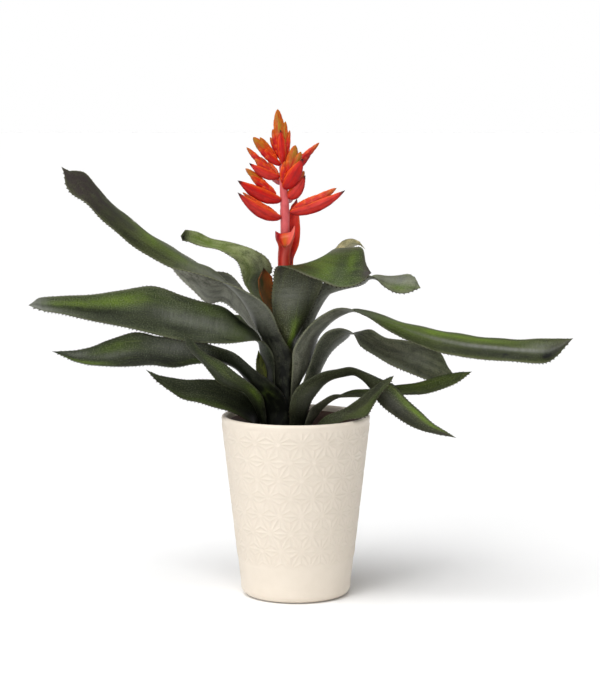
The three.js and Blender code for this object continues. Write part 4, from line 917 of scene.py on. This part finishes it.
def blade_sheet(leaf, seed, step, columns, wave, point_steps):
    """The sheet through the middle of a blade, with its trough, waves and ripples. A column's place u runs
    from -1 at the right margin to 1 at the left one, and a row's run is how far it is from the foot."""
    middle, across, half, gutter, free = blade_spine(leaf, step, point_steps)
    tangent = unit(np.gradient(np.vstack([middle, leaf["tip"]]), axis=0)[:len(middle)])
    up = unit(np.cross(tangent, across))
    run = np.concatenate([[0], np.cumsum(np.linalg.norm(np.diff(middle, axis=0), axis=1))])
    u = np.linspace(-1, 1, columns)
    calm = (np.clip(run / WAVE_GROWS, 0, 1) * free)[:, None]
    broad = np.clip(half / WAVING_HALF, 0, 1)[:, None]
    left_wave, right_wave = np.sin(run / LEFT_WAVE + seed), np.sin(run / RIGHT_WAVE + 2.1 * seed)
    side_wave = np.where(u > 0, left_wave[:, None], right_wave[:, None])
    ripple = np.array([[noise.noise(Vector((r * 0.045, c * 1.1, seed * 7.7))) for c in u] for r in run])
    lift = -gutter[:, None] * (1 - u ** 2)
    lift += wave * calm * side_wave * np.abs(u) ** 3 * broad
    lift += 0.9 * wave * calm * ripple * broad
    # A curled margin turns up and inwards, the left one more than the right.
    turning = np.clip((np.abs(u) - 0.5) / 0.5, 0, 1) * np.clip((run - CURL_FROM) / CURL_GROWS, 0, 1)[:, None]
    rolled = leaf.get("curl", 0) * turning
    lift += rolled * (1 + 0.35 * np.sign(u))
    reach = u * half[:, None] - 0.3 * np.sign(u) * rolled
    sheet = middle[:, None, :] + across[:, None, :] * reach[..., None] + up[:, None, :] * lift[..., None]
    return sheet, u, run, half, across, free


def blade_faces(rows, columns):
    """The upper and under face of a blade, its margins and foot, and the fans to its point."""
    top = np.arange(rows * columns).reshape(rows, columns)
    low = (top + rows * columns).tolist()
    top = top.tolist()
    apex = 2 * rows * columns
    faces = []
    for i in range(rows - 1):
        for j in range(columns - 1):
            faces.append((top[i][j], top[i + 1][j], top[i + 1][j + 1], top[i][j + 1]))
            faces.append((low[i][j], low[i][j + 1], low[i + 1][j + 1], low[i + 1][j]))
        faces.append((top[i][0], low[i][0], low[i + 1][0], top[i + 1][0]))
        faces.append((top[i][-1], top[i + 1][-1], low[i + 1][-1], low[i][-1]))
    for j in range(columns - 1):
        faces.append((top[0][j], top[0][j + 1], low[0][j + 1], low[0][j]))
        faces.append((top[-1][j], apex, top[-1][j + 1]))
        faces.append((low[-1][j], low[-1][j + 1], apex))
    faces.append((top[-1][0], low[-1][0], apex))
    faces.append((top[-1][-1], apex, low[-1][-1]))
    return faces


def blade_layers(u, run, half, seed, foot_shade_and_rim, markings):
    """What a blade's finish reads at each point of its upper and under face, and at its tip."""
    rows, columns = len(run), len(u)
    far = run[:, None]
    place = np.stack(np.broadcast_arrays(u * half[:, None], far, seed * BLADE_APART), 2).reshape(-1, 3)
    edge = np.tile(np.abs(u), rows)
    layers = {
        "blade_place": np.vstack([place, place, [[0, run[-1] + 3, seed * BLADE_APART]]]),
        "blade_edge": np.concatenate([edge, edge, [1.0]]),
        "blade_upper": np.concatenate([np.ones(rows * columns), np.zeros(rows * columns), [1.0]]),
        "blade_tooth": np.concatenate([np.zeros(2 * rows * columns), [0.6]]),
    }
    marks = {kind: np.zeros((rows, columns)) for kind in MARK_KINDS}
    # The sheath and the foot of every leaf are darkened with painted shade, where the leaves crowd in the
    # plant's heart, and the margins are pale.
    foot_shade_share, foot_shade_reach, rim_share = foot_shade_and_rim
    marks["painted_shade"] += foot_shade_share * np.exp(-((far / foot_shade_reach) ** 4))
    marks["rim"] += rim_share * np.clip((np.abs(u) - 0.9) / 0.1, 0, 1)
    for kind, shares in marks.items():
        for along, aside, length, width, strength in markings.get(kind, ()):
            shares += strength * np.exp(-(((far - along) / length) ** 2) - ((u - aside) / width) ** 2)
        layers["blade_" + kind] = np.concatenate([shares.ravel(), shares.ravel(), [0.0]])
    return layers


def margin_teeth(sheet, normal, run, half, across, free, seed):
    """Hooked brown teeth about 3.5 mm apart on both margins, leaning towards the tip. The trough turns the
    higher margin's teeth inwards, so they stand out less than the lower one's."""
    teeth = []
    luck = random.Random(seed)
    for column, outward in ((0, -1.0), (-1, 1.0)):
        faces = [(0, 2, 4), (2, 1, 4), (1, 3, 4), (3, 0, 4), (0, 3, 1), (0, 1, 2)]
        if outward > 0:
            faces = [face[::-1] for face in faces]
        place = run[free][0] + luck.uniform(4, 8)
        while place < run[-1] - 3:
            row = int(np.searchsorted(run, place))
            size = OUTER_TOOTH if outward * across[row][2] < 0.1 else INNER_TOOTH
            out = outward * across[row] * (luck.uniform(0.75, 1.1) * size)
            back, front, tip = (
                np.array([np.interp(s, run, sheet[:, column, k]) for k in range(3)])
                for s in (place - TOOTH_BACK, place + TOOTH_FRONT, place + TOOTH_POINT)
            )
            inward = -outward * across[row] * 0.35
            rise = normal[row, column] * 0.32
            root = (back + front) / 2 + inward + out * 0.25
            points = np.array([back + inward, front + inward, root + rise, root - rise, tip + out])
            layers = {"blade_" + kind: np.zeros(5) for kind in MARK_KINDS}
            layers["blade_place"] = np.tile([half[row] * outward, place, seed * BLADE_APART], (5, 1))
            layers["blade_edge"] = np.full(5, 0.9)
            layers["blade_upper"] = np.full(5, 0.5)
            layers["blade_tooth"] = np.array([0.5, 0.5, 0.9, 0.9, 1.0])
            teeth.append((points, faces, layers))
            place += luck.uniform(*TOOTH_GAPS)
    return teeth


def blade(name, leaf, seed, foot_shade_and_rim, step=2.0, columns=17, wave=0.5, teeth=True, point_steps=8):
    """One leaf or bract as a thin closed blade with layers that its finish reads. Its rows are a step apart,
    and the last stretch to its point has so many steps of its own."""
    sheet, u, run, half, across, free = blade_sheet(leaf, seed, step, columns, wave, point_steps)
    normal = np.cross(np.gradient(sheet, axis=0), np.gradient(sheet, axis=1))
    normal /= np.maximum(np.linalg.norm(normal, axis=2, keepdims=True), 1e-9)
    thickness = LEAF_MIDDLE + (LEAF_EDGE - LEAF_MIDDLE) * np.abs(u)
    shrink = np.clip(half / half.max() * 2.5, 0.35, 1)
    offset = normal * (thickness[None, :, None] / 2) * shrink[:, None, None]
    points = np.vstack([(sheet + offset).reshape(-1, 3), (sheet - offset).reshape(-1, 3), [leaf["tip"]]])
    layers = blade_layers(u, run, half, seed, foot_shade_and_rim, MARKS.get(name, {}))
    parts = [(points, blade_faces(len(run), columns), layers)]
    if teeth:
        parts += margin_teeth(sheet, normal, run, half, across, free, seed)
    return joined(parts)


def leaves():
    for index, (name, leaf) in enumerate(LEAVES.items()):
        upper, under, *foot_shade_and_rim = LEAF_TONES.get(name, LEAF_TONES["usual"])
        finish = leaf_blade(name + "_green", upper, under)
        points, faces, layers = blade(name, leaf, index + 1, foot_shade_and_rim)
        make_piece(name + "_blade", points, faces, finish, layers, replaces=[name])


# Flower head

def pod(start, end, width, thickness, sag, facing, kind, seed, sides=24, rings=34):
    """A pointed, slightly flattened pod: a boat-shaped bract folded round the flower inside it, with a keel.
    The smaller ones are cones of scales that lie over one another."""
    start, end = np.array(start, float), np.array(end, float)
    length = np.linalg.norm(end - start)
    along = (end - start) / length
    across = unit(np.cross(along, facing))
    out = np.cross(along, across)
    upward = math.copysign(1, across[2]) if abs(across[2]) > 0.2 else 0
    swell_at, swell = zip(*(BRACT_OUTLINE if kind == "dark" else CONE_OUTLINE))
    ripe_from, dry_from = RIPENING[kind]
    scales = 0 if kind == "dark" else max(2, round(length / SCALE_LENGTH))
    points, place, shades = [], [], []
    for ring in range(1, rings + 1):
        t = ring / (rings + 1)
        centre = start + (end - start) * t - np.array([0, 0, sag * 4 * t * (1 - t)])
        size = np.interp(t, swell_at, swell)
        for angle in round_angles(sides):
            side, rise = math.cos(angle), math.sin(angle)
            # The folded margins meet in a low groove on the near side, and a keel stands on the far side.
            groove = 1 - POD_GROOVE * math.exp(-((side / 0.22) ** 2)) * (rise > 0)
            keel = 1 + POD_KEEL * math.exp(-((side / 0.2) ** 2)) * (rise < 0)
            ripple = 1 + 0.06 * noise.noise(Vector((side * 2, rise * 2, t * 5 + seed * 3.3)))
            lap = (t * scales + (0.5 if side * rise > 0 else 0)) % 1 if scales else 0.5
            step = 1 + POD_SCALE * (lap - 0.6) * (0.1 < t < 0.93)
            r = size * groove * keel * ripple * step
            points.append(centre + across * (side * width / 2 * r) + out * (rise * thickness / 2 * r))
            place.append((angle * width / 2, t * length, seed * POD_APART))
            # Orange margins and scale tips, with a painted highlight along the upper margin; crimson with
            # painted shade in the hollows, at the root and on the lower side; and the ripe and dry
            # stretches.
            margin = max(0.0, side * upward) if upward else abs(side)
            tipped = 0.55 * max(0.0, lap - 0.55) / 0.45 if scales else 0.0
            hollow_shade = 0.5 * math.exp(-((side / 0.2) ** 2)) + 0.5 * math.exp(-((t / 0.12) ** 2))
            shades.append((
                min(1.0, 0.9 * max(0.0, (margin - 0.6) / 0.4) + tipped * (t > 0.2)),
                min(1.0, 0.85 * max(0.0, -side * upward - 0.3) / 0.7 + hollow_shade),
                min(1, max(0.0, (t - ripe_from) / 0.35)) * (1 - 0.55 * max(0.0, margin)),
                min(1, max(0.0, (t - dry_from) / 0.08)),
            ))
    points += [start, end]
    place += [(0, 0, seed * POD_APART), (0, length, seed * POD_APART)]
    shades += [(0.0, 1.0, 0.0, 0.0), (0.4, 0.0, float(ripe_from < 1), float(dry_from < 1))]
    layers = dict(zip(("bract_blush_and_highlight", "bract_crimson_and_shade", "bract_ripe", "bract_dry"), np.array(shades).T))
    layers["blade_place"] = np.array(place)
    return np.array(points), ring_faces(rings, sides), layers


def flower_spikes():
    deep = flower_bract("red_flower_bract", "#c2140b", "#c2140b", BRACT_COATS)
    coral = flower_bract("coral_flower_bract", "#cc3026", "#cc3026", BRACT_COATS)
    for index, (name, (facing, pods)) in enumerate(SPIKES.items()):
        points, faces, layers = joined([
            pod((fx, fy, fz), (tx, ty, tz), width, thickness, sag, FACING[facing], kind, index * 10 + k)
            for k, (fx, fy, fz, tx, ty, tz, width, thickness, sag, kind) in enumerate(pods)
        ])
        finish = coral if name in PALED_SPIKES else deep
        make_piece(name + "_flowers", points, faces, finish, layers, replaces=[name])


def flower_stalk():
    """A round pink stalk with a low ring where the lowest bract of the flower head sits."""
    middles, levels, shares = zip(*SCAPE_PATH)
    sides, rings = 28, 160
    points = []
    for z in np.linspace(levels[0], levels[-1], rings):
        ring = 0.35 * math.exp(-((z - STALK_RING) / 2.2) ** 2)
        groove = 0.2 * math.exp(-((z - STALK_GROOVE) / 1.2) ** 2)
        radius = SCAPE_RADIUS * np.interp(z, levels, shares) + (ring - groove)
        points.append(level_ring(sides, radius, z, np.interp(z, levels, middles)))
    points.append([[middles[0], 0, levels[0]], [middles[-1], 0, levels[-1] + 1]])
    points, faces = np.vstack(points), ring_faces(rings, sides)
    make_piece("pink_flower_stalk", points, faces, stalk_skin, replaces=["scape"])


def stalk_bracts():
    red = flower_bract("red_stalk_bract", "#cc3426", "#e0382a", STALK_BRACT_COATS)
    brown = flower_bract("red_brown_stalk_bract", "#7a2a16", "#96582a", STALK_BRACT_COATS)
    finer = dict(step=1.2, columns=13, wave=0.3, teeth=False, point_steps=6)
    for index, (name, bract) in enumerate(STALK_BRACTS.items()):
        points, faces, layers = blade(name, bract, 40 + index, BRACT_FOOT_SHADE_AND_RIM, **finer)
        # The last 9 mm dry out, but not on the curled bract, whose point is folded under.
        along = layers["blade_place"][:, 1]
        layers["bract_dry"] = np.clip((along - along.max() + 9) / 6, 0, 1) * (name != "scape_bract_curled")
        layers["bract_blush_and_highlight"] = 0.6 * np.clip((layers["blade_edge"] - 0.7) / 0.3, 0, 1)
        finish = brown if name == "scape_bract_inner" else red
        make_piece(name + "_blade", points, faces, finish, layers, replaces=[name])


# Stage

def place_lamp(name, kind, power, toward, at=(0, 0, 0)):
    lamp = bpy.data.lights.new(name, kind)
    lamp.energy = power
    holder = bpy.data.objects.new(name, lamp)
    holder.location = at
    holder.rotation_euler = Vector(toward).to_track_quat("-Z", "Y").to_euler()
    scene.collection.objects.link(holder)
    return lamp


def studio_sky():
    """An even white surround that is dimmer overhead, so that the lamps shape the leaves."""
    world = bpy.data.worlds.new("white_studio")
    scene.world = world
    world.use_nodes = True
    tree = world.node_tree
    direction = add_node(tree, "ShaderNodeTexCoord").outputs["Generated"]
    upward = add_node(tree, "ShaderNodeSeparateXYZ", {"Vector": direction}).outputs["Z"]
    levels = {"Value": upward, "From Min": 0.06, "From Max": 0.3, "To Min": 1.0, "To Max": 0.3}
    level = add_node(tree, "ShaderNodeMapRange", levels, interpolation_type="SMOOTHSTEP")
    tree.links.new(level.outputs[0], tree.nodes["Background"].inputs["Strength"])
    tree.nodes["Background"].inputs["Color"].default_value = (1, 1, 1, 1)


def studio():
    floor_mesh = bpy.data.meshes.new("pale_floor")
    reach = 30.0
    corners = [(-reach, -reach, 0), (reach, -reach, 0), (reach, reach, 0), (-reach, reach, 0)]
    floor_mesh.from_pydata(corners, [], [(0, 1, 2, 3)])
    floor = bpy.data.objects.new("pale_floor", floor_mesh)
    scene.collection.objects.link(floor)
    material, _, shader = start_finish("pale_floor_paint", 1.0, gloss=0.0)
    shader.inputs["Base Color"].default_value = colour("#fbfbfb")
    floor_mesh.materials.append(material)
    studio_sky()
    # A very wide overhead light, as even over the whole floor as a bank of softboxes.
    place_lamp("softbox_bank", "SUN", 2.5, (0.35, 0.5, -1.3)).angle = math.radians(50)
    left = Vector((-1.1, -1.7, 1.0))
    place_lamp("left_softbox", "AREA", 9, Vector((0, 0, 0.25)) - left, left).size = 0.7
    scene.view_settings.view_transform = "Standard"


def camera():
    lens = bpy.data.cameras.new("photo_camera")
    lens.sensor_width = 36
    # 2235 pixels of focal length on the 700-pixel side of the picture.
    lens.lens = 36 * 2235 / 700
    lens.clip_end = 20
    seen = bpy.data.objects.new("photo_camera", lens)
    seen.location = (0.004, -2.076, 0.4846)
    seen.rotation_euler = (math.radians(90 - 6.95), 0, 0)
    scene.collection.objects.link(seen)
    scene.camera = seen


cover_pot()
grower_pot()
peat()
plant_stock()
flower_stalk()
leaves()
stalk_bracts()
flower_spikes()
studio()
camera()
